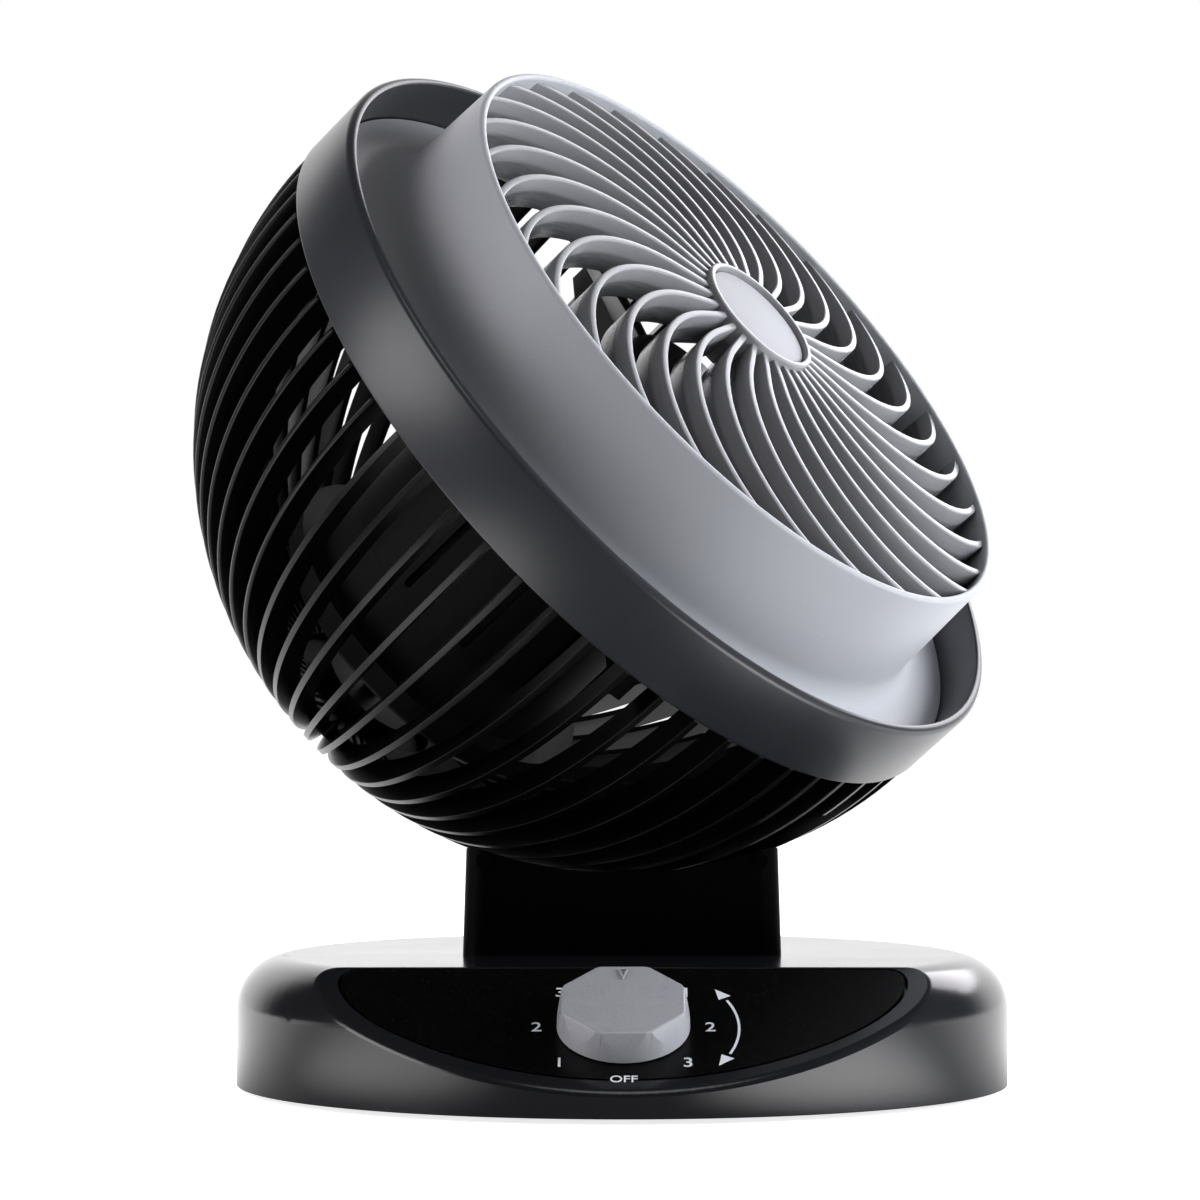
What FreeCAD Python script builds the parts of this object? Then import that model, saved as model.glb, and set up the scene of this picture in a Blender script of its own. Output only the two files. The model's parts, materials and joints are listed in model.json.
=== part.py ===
import FreeCAD, Part
import Sketcher
import math
import os
import re

Vector = FreeCAD.Vector

# Oscillating table fan: a ball-shaped head with a meridian-ribbed cage behind and a deep
# spiral grille in front, nested on a short neck that stands on a round base with a sloping
# control panel. The part stands on Z = 0 with the base centred on the origin, and the panel
# faces -Y. The head is modelled turned and tilted, as it is shown.
# Lengths are in millimetres and angles in degrees.
SIZES = [
    # Base
    ("base_radius", "110"),
    ("base_height", "38"),
    ("base_round", "15"),
    ("base_wall", "2.6"),
    ("foot_height", "1.5"),
    ("foot_radius", "9"),
    ("foot_circle_share", "0.782"),
    ("foot_circle", "=base_radius * foot_circle_share"),
    ("plate_thick", "2.5"),
    ("plate_fit", "0.4"),
    ("screw_radius", "3.2"),
    ("screw_head", "0.8"),
    ("screw_circle_share", "0.6"),
    ("screw_circle", "=base_radius * screw_circle_share"),
    # Control panel and dial
    ("panel_back_share", "0.5091"),
    ("panel_fall_share", "0.7716"),
    ("panel_back", "=base_radius * panel_back_share"),
    ("panel_run", "=base_radius - panel_back"),
    ("panel_slope", "=atan(base_height * panel_fall_share / panel_run)"),
    ("panel_lip", "2.4"),
    ("panel_margin", "5.5"),
    ("panel_top", "1.5"),
    ("panel_groove", "0.8"),
    ("panel_thick", "2"),
    ("panel_corner", "5"),
    ("dial_down_share", "0.4915"),
    ("dial_down", "=panel_run / cos(panel_slope) * dial_down_share"),
    ("knob_radius", "18"),
    ("knob_foot_corner", "19.7"),
    ("knob_top_corner", "17.6"),
    ("knob_height", "10.5"),
    ("knob_lift", "0.4"),
    ("knob_depth", "7"),
    ("mark_length", "5.5"),
    ("mark_width", "4"),
    ("mark_depth", "0.8"),
    ("spindle_radius", "3"),
    ("spindle_room", "0.6"),
    ("switch_radius", "11"),
    ("switch_room", "2.4"),
    ("switch_foot", "=foot_height + plate_thick + switch_room + switch_radius * sin(panel_slope)"),
    ("dial_height", "=base_height - dial_down * sin(panel_slope)"),
    ("switch_depth", "=(dial_height - switch_foot) / cos(panel_slope) - panel_thick - base_wall"),
    ("gland_radius", "6"),
    ("gland_bore", "3.2"),
    ("gland_height", "13"),
    ("gland_proud", "3"),
    ("gland_inside", "7"),
    # Neck
    ("neck_width", "91"),
    ("neck_depth", "76"),
    ("neck_front", "8"),
    ("neck_draft", "1"),
    ("neck_corner", "6"),
    ("neck_low", "12"),
    ("neck_wall", "3"),
    ("shield_height", "31"),
    ("shield_thick", "8"),
    ("shield_room", "3"),
    ("trim_radius", "2.2"),
    ("trim_head", "0.9"),
    ("trim_inset", "6.1"),
    ("trim_apart", "=neck_width - 2 * trim_inset"),
    ("trim_drop", "4"),
    # Swivel
    ("head_turn", "60.8"),
    ("turntable_radius", "26.5"),
    ("turntable_thick", "3.7"),
    ("turntable_gap", "0.3"),
    ("swivel_radius", "7"),
    ("swivel_fit", "0.05"),
    ("bush_radius", "10"),
    ("bush_height", "9"),
    ("retainer_radius", "9.4"),
    ("retainer_thick", "1"),
    ("retainer_gap", "0.4"),
    ("drive_width", "52"),
    ("drive_depth", "44"),
    # Tilt bracket, shoe and track
    ("head_tilt", "39.4"),
    ("arm_root", "4"),
    ("arm_gap", "0.8"),
    ("arm_thick", "5.7"),
    ("arm_width", "26"),
    ("arm_end_angle", "19.5"),
    ("shoe_angle", "13"),
    ("shoe_reach_angle", "6.5"),
    ("stem_reach_angle", "4.5"),
    ("stem_width", "12"),
    ("stem_side_gap", "0.4"),
    ("slide_gap", "0.3"),
    ("clamp_thick", "4.7"),
    ("clamp_width", "24"),
    ("clamp_reach_angle", "7"),
    ("clamp_screw_apart", "17"),
    ("track_drop", "4.5"),
    ("track_thick", "6"),
    ("track_width", "36"),
    ("track_end_angle", "87"),
    ("slot_start_angle", "21.5"),
    ("slot_end_angle", "82.5"),
    # Cage
    ("ball_radius", "125"),
    ("rib_depth", "8.5"),
    ("hub_depth", "6"),
    ("rib_thick", "1.9"),
    ("cage_hub_radius", "24"),
    ("band_proud", "0.5"),
    ("band_wall", "3"),
    ("band_length", "23.5"),
    ("band_edge", "1.2"),
    ("ledge_width", "5.5"),
    ("ledge_thick", "6"),
    # Front shroud and grille
    ("shroud_fit", "0.4"),
    ("shroud_wall", "2.3"),
    ("shroud_taper", "2.2"),
    ("shroud_foot", "=rim_radius + shroud_taper"),
    ("shroud_flare", "10"),
    ("rim_share", "0.808"),
    ("rim_radius", "=ball_radius * rim_share"),
    ("rim_front", "51.8"),
    ("grille_dome", "570"),
    ("grille_depth", "12"),
    ("grille_recess", "2"),
    ("spiral_start_share", "0.317"),
    ("spiral_start", "=rim_radius * spiral_start_share"),
    ("spiral_radius_share", "0.503"),
    ("spiral_radius", "=rim_radius * spiral_radius_share"),
    ("grille_thick", "2.2"),
    ("hub_radius", "20"),
    ("hub_wall", "1.9"),
    ("hub_front", "59.8"),
    ("hub_back", "45.5"),
    ("hub_floor", "3"),
    ("medallion_drop", "1.6"),
    ("medallion_thick", "3"),
    ("medallion_fit", "0.2"),
    # Motor
    ("pod_radius", "46"),
    ("pod_wall", "2.5"),
    ("pod_front", "12"),
    ("pod_rear", "64"),
    ("vent_width", "2.6"),
    ("vent_inset", "3"),
    ("vent_turn", "2.5"),
    ("cap_lip", "8"),
    ("cap_radius", "=pod_radius + cap_lip"),
    ("cap_front", "80"),
    ("cap_thick", "8"),
    ("cap_edge", "1.5"),
    ("bearing_radius", "11"),
    ("bearing_length", "7"),
    ("shaft_radius", "4"),
    ("shaft_fit", "0.05"),
    ("stator_length", "28"),
    ("stator_front", "22"),
    ("rotor_radius", "25"),
    ("rotor_gap", "0.6"),
    ("rotor_short", "2"),
    ("spider_thick", "4"),
    ("strut_thick", "4"),
    ("strut_depth", "16"),
    ("boss_radius", "17.5"),
    ("boss_length", "15"),
    ("boss_front", "=ball_radius - boss_length"),
    ("rod_radius", "3"),
    # Fan wheel
    ("blade_room", "5.7"),
    ("blade_radius", "=rim_radius - shroud_wall - blade_room"),
    ("blade_middle", "20"),
    ("blade_thick", "2.2"),
    ("blade_edge", "1"),
    ("blade_camber", "5"),
    ("wheel_radius", "21"),
    ("wheel_back", "5"),
    ("wheel_length", "25"),
    ("wheel_round", "5"),
    ("nut_radius", "7"),
    ("nut_length", "4"),
    ("overrun", "1"),
]

CAGE_RIBS = 60
CAGE_SECTORS = 6
GRILLE_RIBS = 30
BLADES = 4
VENTS = 12
STRUTS = 4
FEET = 4
KNOB_SIDES = 8
# Blade chord, as shares of the blade radius, and pitch in degrees, from the root to the tip.
BLADE_RADIUS_SHARES = [0.2, 0.5, 0.78, 1.03]
BLADE_CHORD_SHARES = [0.36, 0.66, 0.78, 0.66]
BLADE_PITCH = [40, 30, 23, 18]

doc = FreeCAD.newDocument("table_fan")
sheet = doc.addObject("Spreadsheet::Sheet", "Sizes")
for row, (alias, text) in enumerate(SIZES, start=1):
    sheet.set("A%d" % row, alias)
    sheet.setAlias("B%d" % row, alias)
for row, (alias, text) in enumerate(SIZES, start=1):
    sheet.set("B%d" % row, text)
doc.recompute()

NODES = []


def size(expression):
    """Value of an expression written in the sheet's aliases."""
    return float(sheet.evalExpression(expression))


def bound(expression):
    """The same expression as other objects of the document write it."""
    return re.sub(r"\b([a-z]+(?:_[a-z]+)+|overrun)\b", r"Sizes.\1", expression)


def bind(item, **expressions):
    """Tie properties of an object to the sheet."""
    for name, expression in expressions.items():
        item.setExpression(name, bound(expression))


def node(item, place=None):
    """Keep an object as a sub-part, set at its place."""
    if place:
        item.setExpression("Placement", bound(place))
    NODES.append(item)
    return item


def feature(label, shape, place=None):
    """A sub-part whose shape is worked out below from the sheet's sizes."""
    item = doc.addObject("Part::Feature", label)
    item.Shape = shape
    return node(item, place)


def turned(label, points, place=None):
    """A turned sub-part: a sketched profile of (radius, height) points, revolved about Z."""
    body = doc.addObject("PartDesign::Body", label)
    sketch = body.newObject("Sketcher::SketchObject", label + "_profile")
    plane = [item for item in body.Origin.OriginFeatures if item.Role == "XZ_Plane"][0]
    sketch.AttachmentSupport = [(plane, "")]
    sketch.MapMode = "FlatFace"
    corners = [Vector(size(radius), size(height), 0) for radius, height in points]
    count = len(corners)
    for i in range(count):
        sketch.addGeometry(Part.LineSegment(corners[i], corners[(i + 1) % count]), False)
    for i in range(count):
        sketch.addConstraint(Sketcher.Constraint("Coincident", i, 2, (i + 1) % count, 1))
    for i, (radius, height) in enumerate(points):
        for kind, axis, expression in (("DistanceX", -2, radius), ("DistanceY", -1, height)):
            if expression == "0":
                sketch.addConstraint(Sketcher.Constraint("PointOnObject", i, 1, axis))
                continue
            value = size(expression)
            index = sketch.addConstraint(Sketcher.Constraint(kind, -1, 1, i, 1, value))
            sketch.setExpression("Constraints[%d]" % index, bound(expression))
    turn = body.newObject("PartDesign::Revolution", label + "_turn")
    turn.Profile = sketch
    turn.ReferenceAxis = (sketch, ["V_Axis"])
    turn.Angle = 360
    return node(body, place)


def tube(label, inner, outer, low, high, place=None):
    """A turned ring with a square section."""
    return turned(label, [(inner, low), (outer, low), (outer, high), (inner, high)], place)


def cylinder(name, radius, height, z="0"):
    """A Part cylinder bound to the sheet, standing at height z on the Z axis."""
    item = doc.addObject("Part::Cylinder", name)
    bind(item, Radius=radius, Height=height)
    item.setExpression(".Placement.Base.z", bound(z))
    return item


def sphere(name, radius):
    """A Part sphere bound to the sheet."""
    item = doc.addObject("Part::Sphere", name)
    bind(item, Radius=radius)
    return item


def combine(kind, name, base, tool):
    """A Part boolean of two objects."""
    item = doc.addObject("Part::" + kind, name)
    item.Base = base
    item.Tool = tool
    return item


def revolve(edges):
    """A solid from a closed profile in the XZ plane, turned about Z."""
    face = Part.Face(Part.Wire(edges))
    return face.revolve(Vector(0, 0, 0), Vector(0, 0, 1), 360)


def line(start, end):
    return Part.LineSegment(start, end).toShape()


def arc(start, middle, end):
    return Part.Arc(start, middle, end).toShape()


def round_about(shape, count, start=0):
    """Copies of a shape, evenly spaced round the Z axis."""
    copies = []
    for i in range(count):
        copy = shape.copy()
        copy.rotate(Vector(0, 0, 0), Vector(0, 0, 1), start + 360 * i / count)
        copies.append(copy)
    return copies


def sector(inner, outer, start, stop, width):
    """Part of a ring about the X axis. Angles run from straight down towards +Y."""
    half = width / 2

    def point(radius, angle):
        turn = math.radians(angle)
        return Vector(-half, radius * math.sin(turn), -radius * math.cos(turn))

    middle = (start + stop) / 2
    edges = [
        arc(point(outer, start), point(outer, middle), point(outer, stop)),
        line(point(outer, stop), point(inner, stop)),
        arc(point(inner, stop), point(inner, middle), point(inner, start)),
        line(point(inner, start), point(outer, start)),
    ]
    return Part.Face(Part.Wire(edges)).extrude(Vector(width, 0, 0))


def box(x_low, x_high, y_low, y_high, z_low, z_high):
    return Part.makeBox(x_high - x_low, y_high - y_low, z_high - z_low, Vector(x_low, y_low, z_low))


# Places. The swivel and tilt axes meet at the centre of the ball.
AXIS_BACK = "(neck_depth / 2 - neck_front)"
NECK_TOP = "(base_height + neck_low)"
TURNTABLE_TOP = "(base_height + neck_low + turntable_gap + turntable_thick)"
BALL = "(base_height + neck_low + turntable_gap + turntable_thick + arm_root + arm_gap + ball_radius)"
HEAD = "placement(vector(0; %s; %s); rotation(head_turn; 0; 90 - head_tilt))" % (AXIS_BACK, BALL)
SWIVEL = "placement(vector(0; %s; %s); rotation(head_turn; 0; 0))" % (AXIS_BACK, BALL)
COLUMN = "placement(vector(0; %s; 0); rotation(head_turn; 0; 0))" % AXIS_BACK
DIAL = (
    "placement(vector(0; -panel_back - dial_down * cos(panel_slope);"
    " base_height - dial_down * sin(panel_slope)); rotation(0; 0; panel_slope))"
)
PANEL_BACKING = "(panel_thick + base_wall)"

overrun = size("overrun")
base_radius = size("base_radius")
base_height = size("base_height")
base_wall = size("base_wall")
foot_height = size("foot_height")
axis_back = size(AXIS_BACK)
ball_height = size(BALL)
ball_radius = size("ball_radius")


# Base
def base_form(radius, low, high, rounding):
    """A disc with a rounded top edge."""
    inset = rounding * (1 - math.sqrt(0.5))
    edges = [
        line(Vector(0, 0, low), Vector(radius, 0, low)),
        line(Vector(radius, 0, low), Vector(radius, 0, high - rounding)),
        arc(
            Vector(radius, 0, high - rounding),
            Vector(radius - inset, 0, high - inset),
            Vector(radius - rounding, 0, high),
        ),
        line(Vector(radius - rounding, 0, high), Vector(0, 0, high)),
        line(Vector(0, 0, high), Vector(0, 0, low)),
    ]
    return revolve(edges)


panel_turn = FreeCAD.Rotation(Vector(1, 0, 0), size("panel_slope"))
panel_place = FreeCAD.Placement(Vector(0, -size("panel_back"), base_height), panel_turn)


def panel_block(low, high, down):
    """A block over the panel's plane, from a distance down the slope onwards."""
    block = box(-base_radius, base_radius, -2 * base_radius, -down, low, high)
    block.Placement = panel_place
    return block


def panel_slab(room, depth):
    """The half-moon of the panel, set in from the edges of the slope and grown by some room."""
    wide = 2 * base_radius
    margin = size("panel_margin") - room
    top = size("panel_top") - room
    plane = Part.makePlane(wide, wide - top, Vector(-base_radius, -wide, 0))
    plane.Placement = panel_place
    disc = base_form(base_radius - margin, foot_height, base_height, size("base_round"))
    outline = disc.common(plane).Faces[0]
    slab = outline.extrude(panel_turn.multVec(Vector(0, 0, -depth)))
    to_panel = panel_place.inverse()
    corners = []
    for edge in slab.Edges:
        ends = [to_panel.multVec(vertex.Point) for vertex in edge.Vertexes]
        across = abs(ends[0].z - ends[-1].z) > depth / 2
        if across and ends[0].y > -2 * margin:
            corners.append(edge)
    return slab.makeFillet(size("panel_corner"), corners)


def on_panel(shape):
    """Move a shape made about the Z axis to the dial's axis."""
    moved = shape.copy()
    down = panel_turn.multVec(Vector(0, -size("dial_down"), 0))
    moved.Placement = FreeCAD.Placement(panel_place.Base + down, panel_turn)
    return moved


def make_base_shell():
    rounding = size("base_round")
    slope_cut = panel_block(0, base_radius, -base_radius)
    outer = base_form(base_radius, foot_height, base_height, rounding).cut(slope_cut)
    normal = panel_turn.multVec(Vector(0, 0, 1))
    lips = []
    for edge in outer.Edges:
        heights = [(point - panel_place.Base).dot(normal) for point in edge.discretize(5)]
        if max(abs(height) for height in heights) < size("overrun") / 100:
            lips.append(edge)
    outer = outer.makeFillet(size("panel_lip"), lips)
    hollow = base_form(
        base_radius - base_wall, foot_height - overrun, base_height - base_wall, rounding - base_wall
    )
    hollow = hollow.cut(panel_block(-size(PANEL_BACKING), base_radius, -base_radius))
    shell = outer.cut(hollow)
    shell = shell.cut(panel_slab(size("panel_groove"), size("panel_thick")))
    shell = shell.cut(on_panel(spindle_hole()))
    gland_hole = Part.makeCylinder(
        size("gland_radius"),
        size("gland_inside + overrun"),
        Vector(0, base_radius - size("gland_inside"), size("gland_height")),
        Vector(0, 1, 0),
    )
    return shell.cut(gland_hole)


def spindle_hole():
    depth = size(PANEL_BACKING) + overrun
    radius = size("spindle_radius + spindle_room")
    return Part.makeCylinder(radius, depth + overrun, Vector(0, 0, -depth))


feature("base_shell", make_base_shell())
feature("control_panel", panel_slab(0, size("panel_thick")).cut(on_panel(spindle_hole())))
turned(
    "base_plate",
    [
        ("0", "foot_height"),
        ("base_radius - base_wall - plate_fit", "foot_height"),
        ("base_radius - base_wall - plate_fit", "foot_height + plate_thick"),
        ("0", "foot_height + plate_thick"),
    ],
)


def base_buttons(radius, height, circle, z, start):
    """Round pieces under the base plate, evenly spaced."""
    button = Part.makeCylinder(radius, height, Vector(circle, 0, z))
    return round_about(button, FEET, start)


half_step = 180 / FEET
feet = base_buttons(size("foot_radius"), foot_height, size("foot_circle"), 0, half_step)
feet.append(Part.makeCylinder(size("foot_radius"), foot_height))
feature("base_feet", Part.Compound(feet))
screw_head = size("screw_head")
screws = base_buttons(size("screw_radius"), screw_head, size("screw_circle"), foot_height - screw_head, 0)
feature("base_screws", Part.Compound(screws))

gland = combine(
    "Cut",
    "cord_gland",
    cylinder("gland_body", "gland_radius", "gland_inside + gland_proud"),
    cylinder("gland_hole", "gland_bore", "gland_inside + gland_proud + 2 * overrun", "-overrun"),
)
node(gland, "placement(vector(0; base_radius - gland_inside; gland_height); rotation(0; 0; -90))")


# Dial: a tapered eight-sided knob with a round foot, on the spindle of a rotary switch
def polygon(sides, corner, z):
    """A regular polygon with a flat side towards -Y."""
    turn = math.pi / sides - math.pi / 2
    points = []
    for i in range(sides + 1):
        angle = turn + 2 * math.pi * i / sides
        points.append(Vector(corner * math.cos(angle), corner * math.sin(angle), z))
    return Part.makePolygon(points)


def make_knob():
    low = size("knob_lift")
    high = low + size("knob_height")
    foot = polygon(KNOB_SIDES, size("knob_foot_corner"), low)
    top = polygon(KNOB_SIDES, size("knob_top_corner"), high)
    knob = Part.makeLoft([foot, top], True, True)
    knob = knob.common(Part.makeCylinder(size("knob_radius"), size("knob_height"), Vector(0, 0, low)))
    bore = Part.makeCylinder(size("spindle_radius"), size("knob_depth"), Vector(0, 0, low))
    knob = knob.cut(bore)
    edge = size("knob_top_corner") * math.cos(math.pi / KNOB_SIDES)
    half = size("mark_width") / 2
    tip = edge - size("mark_length")
    depth = size("mark_depth")
    mark = Part.makePolygon(
        [
            Vector(0, tip, high - depth),
            Vector(half, edge + half, high - depth),
            Vector(-half, edge + half, high - depth),
            Vector(0, tip, high - depth),
        ]
    )
    return knob.cut(Part.Face(mark).extrude(Vector(0, 0, depth + overrun)))


feature("speed_knob", make_knob(), DIAL)
SWITCH_LOW = "(-%s - switch_depth)" % PANEL_BACKING
spindle = cylinder(
    "switch_spindle",
    "spindle_radius",
    "switch_depth + %s + knob_lift + knob_depth" % PANEL_BACKING,
)
node(
    spindle,
    "placement(vector(0; -panel_back - dial_down * cos(panel_slope) + %s * -sin(panel_slope);"
    " base_height - dial_down * sin(panel_slope) + %s * cos(panel_slope));"
    " rotation(0; 0; panel_slope))" % (SWITCH_LOW, SWITCH_LOW),
)
tube("rotary_switch", "spindle_radius + swivel_fit", "switch_radius", SWITCH_LOW, "-" + PANEL_BACKING, DIAL)


# Neck: a low housing with a tall front shield hollowed to the ball
def rounded_rectangle(width, depth, corner, z):
    """A rectangle with round corners, centred on the swivel axis."""
    x = width / 2
    y = depth / 2
    inset = corner * (1 - math.sqrt(0.5))
    edges = []
    for turn in range(4):
        reach, side = ((x, y), (y, x))[turn % 2]
        rotate = FreeCAD.Rotation(Vector(0, 0, 1), 90 * turn)
        points = [
            Vector(reach, corner - side, z),
            Vector(reach, side - corner, z),
            Vector(reach - inset, side - inset, z),
            Vector(reach - corner, side, z),
        ]
        points = [rotate.multVec(point) + Vector(0, axis_back, 0) for point in points]
        edges.append(line(points[0], points[1]))
        edges.append(arc(points[1], points[2], points[3]))
    return Part.Wire(Part.__sortEdges__(edges))


def make_neck():
    width = size("neck_width")
    depth = size("neck_depth")
    corner = size("neck_corner")
    wall = size("neck_wall")
    draft = 2 * size("neck_draft")
    top = base_height + size("shield_height")
    low_top = size(NECK_TOP)
    foot = rounded_rectangle(width, depth, corner, base_height)
    head = rounded_rectangle(width - draft, depth, corner, top)
    neck = Part.makeLoft([foot, head], True, True)
    shield_back = size("shield_thick") - size("neck_front")
    neck = neck.cut(box(-width, width, shield_back, depth + width, low_top, top + overrun))
    room = Part.makeSphere(ball_radius + size("shield_room"), Vector(0, axis_back, ball_height))
    neck = neck.cut(room)
    inside = rounded_rectangle(width - 2 * wall - draft, depth - 2 * wall, corner - wall, base_height - overrun)
    cavity = Part.Face(inside).extrude(Vector(0, 0, low_top - wall - base_height + overrun))
    neck = neck.cut(cavity)
    bore = Part.makeCylinder(size("bush_radius"), base_height, Vector(0, axis_back, base_height))
    return neck.cut(bore)


feature("neck_shell", make_neck())

trims = []
for side in (-1, 1):
    place = Vector(
        side * size("trim_apart") / 2,
        -size("neck_front"),
        base_height + size("shield_height - trim_drop"),
    )
    trims.append(Part.makeCylinder(size("trim_radius"), size("trim_head"), place, Vector(0, -1, 0)))
feature("neck_screws", Part.Compound(trims))

drive_box = doc.addObject("Part::Box", "drive_case")
bind(drive_box, Length="drive_width", Width="drive_depth", Height="neck_low - neck_wall")
drive_box.setExpression(".Placement.Base.x", bound("-drive_width / 2"))
drive_box.setExpression(".Placement.Base.y", bound(AXIS_BACK + " - drive_depth / 2"))
drive_box.setExpression(".Placement.Base.z", bound("base_height"))
drive_bore = cylinder("drive_bore", "bush_radius", "neck_low + 2 * overrun", "base_height - overrun")
drive_bore.setExpression(".Placement.Base.y", bound(AXIS_BACK))
node(combine("Cut", "oscillation_drive", drive_box, drive_bore))

# Swivel: a turntable whose shaft runs in a bush through the neck
tube(
    "swivel_bush",
    "swivel_radius + swivel_fit",
    "bush_radius",
    NECK_TOP + " - bush_height",
    NECK_TOP,
    COLUMN,
)
SHAFT_FOOT = "(%s - bush_height - retainer_gap)" % NECK_TOP
turned(
    "turntable",
    [
        ("0", SHAFT_FOOT),
        ("swivel_radius", SHAFT_FOOT),
        ("swivel_radius", NECK_TOP + " + turntable_gap"),
        ("turntable_radius", NECK_TOP + " + turntable_gap"),
        ("turntable_radius", TURNTABLE_TOP),
        ("0", TURNTABLE_TOP),
    ],
    COLUMN,
)
turned(
    "swivel_retainer",
    [
        ("0", SHAFT_FOOT + " - retainer_thick"),
        ("retainer_radius", SHAFT_FOOT + " - retainer_thick"),
        ("retainer_radius", SHAFT_FOOT),
        ("0", SHAFT_FOOT),
    ],
    COLUMN,
)

# Tilt: a bracket under the ball carries a shoe. The shoe rides on the cage ribs, and its stem
# reaches through a slotted track under them to a clamp. All these faces are arcs about the tilt
# axis, which passes through the ball.
track_outer = size("ball_radius - track_drop")
track_inner = track_outer - size("track_thick")
shoe_angle = size("shoe_angle")


def about_shoe(inner, outer, reach, width):
    """A ring sector centred on the shoe."""
    return sector(inner, outer, shoe_angle - reach, shoe_angle + reach, width)


stem_inner = track_inner - size("slide_gap + clamp_thick")


def make_bracket():
    arm_inner = size("ball_radius + arm_gap")
    arm = sector(arm_inner, arm_inner + size("arm_thick"), 0, size("arm_end_angle"), size("arm_width"))
    width = size("arm_width")
    under = size(TURNTABLE_TOP) - ball_height
    arm = arm.cut(box(-width, width, -ball_radius, ball_radius, -2 * ball_radius, under))
    pad_inner = size("ball_radius + slide_gap")
    pad = about_shoe(pad_inner, arm_inner, size("shoe_reach_angle"), width)
    stem = about_shoe(stem_inner, pad_inner, size("stem_reach_angle"), size("stem_width"))
    return arm.fuse([pad, stem]).removeSplitter()


feature("tilt_bracket", make_bracket(), SWIVEL)
clamp_outer = track_inner - size("slide_gap")
clamp = about_shoe(stem_inner, clamp_outer, size("clamp_reach_angle"), size("clamp_width"))
clamp_hole = about_shoe(
    stem_inner - overrun, clamp_outer + overrun, size("stem_reach_angle"), size("stem_width")
)
feature("tilt_clamp", clamp.cut(clamp_hole), SWIVEL)

clamp_screws = []
seat_radius = math.sqrt(stem_inner * stem_inner - size("trim_radius * trim_radius"))
turn = math.radians(shoe_angle)
inward = Vector(0, -math.sin(turn), math.cos(turn))
for side in (-1, 1):
    seat = inward * -seat_radius + Vector(side * size("clamp_screw_apart") / 2, 0, 0)
    head = Part.makeCylinder(size("trim_radius"), size("trim_head"), seat, inward)
    clamp_screws.append(head)
feature("clamp_screws", Part.Compound(clamp_screws), SWIVEL)


# Cage: sixty meridian ribs between a rear hub and the band, and the tilt track below
def slot_room(inner, outer):
    """Room for the stem of the shoe over its whole travel."""
    width = size("stem_width + 2 * stem_side_gap")
    return sector(inner, outer, -size("slot_end_angle"), -size("slot_start_angle"), width)


def make_track():
    width = size("track_width")
    plate = sector(track_inner, track_outer, -size("track_end_angle"), 0, width)
    slot = slot_room(track_inner - overrun, track_outer + overrun)
    hub = Part.makeCylinder(size("cage_hub_radius"), 2 * ball_radius, Vector(0, 0, -2 * ball_radius))
    return plate.cut(slot).cut(hub)


def make_cage_rib():
    """One rib in the plane of the axis and -Y, from the hub to the band."""
    inner = ball_radius - size("rib_depth")
    rib = sector(inner, ball_radius, -90, 0, size("rib_thick"))
    hub = Part.makeCylinder(size("cage_hub_radius"), 2 * ball_radius, Vector(0, 0, -2 * ball_radius))
    return rib.cut(hub)


def make_cage_sectors():
    """The ribs in groups. They run on over the track, but for its slot."""
    track_room = sector(track_inner / 2, track_outer, -size("track_end_angle"), 0, size("track_width"))
    stem_room = slot_room(track_inner / 2, 2 * ball_radius)
    ribs = round_about(make_cage_rib(), CAGE_RIBS)
    for i in range(CAGE_RIBS):
        turn = 360 * i / CAGE_RIBS
        if math.cos(math.radians(turn)) > 0:
            ribs[i] = ribs[i].cut([track_room, stem_room])
    share = CAGE_RIBS // CAGE_SECTORS
    shift = share // 2
    ribs = ribs[-shift:] + ribs[:-shift]
    return [Part.Compound(ribs[i * share:(i + 1) * share]) for i in range(CAGE_SECTORS)]


for i, group in enumerate(make_cage_sectors(), start=1):
    feature("cage_ribs_%d" % i, group, HEAD)
feature("tilt_track", make_track(), HEAD)

hub_shell = combine(
    "Cut", "hub_shell", sphere("hub_outside", "ball_radius"), sphere("hub_inside", "ball_radius - hub_depth")
)
hub_disc = cylinder("hub_disc", "cage_hub_radius", "ball_radius", "-ball_radius - overrun")
node(combine("Common", "cage_hub", hub_shell, hub_disc), HEAD)

BAND_OUTER = "(ball_radius + band_proud)"
BAND_INNER = "(ball_radius + band_proud - band_wall)"
turned(
    "cage_band",
    [
        (BAND_INNER + " - ledge_width", "0"),
        (BAND_OUTER, "0"),
        (BAND_OUTER, "band_length - band_edge"),
        (BAND_OUTER + " - band_edge", "band_length"),
        (BAND_INNER, "band_length"),
        (BAND_INNER, "ledge_thick"),
        (BAND_INNER + " - ledge_width", "ledge_thick"),
    ],
    HEAD,
)


# Front shroud: a flange on the band's ledge, a hollow flare and a slightly tapered wall
rim_front = size("rim_front")
rim_radius = size("rim_radius")
shroud_wall = size("shroud_wall")
shroud_floor = size("ledge_thick + shroud_wall")


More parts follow.
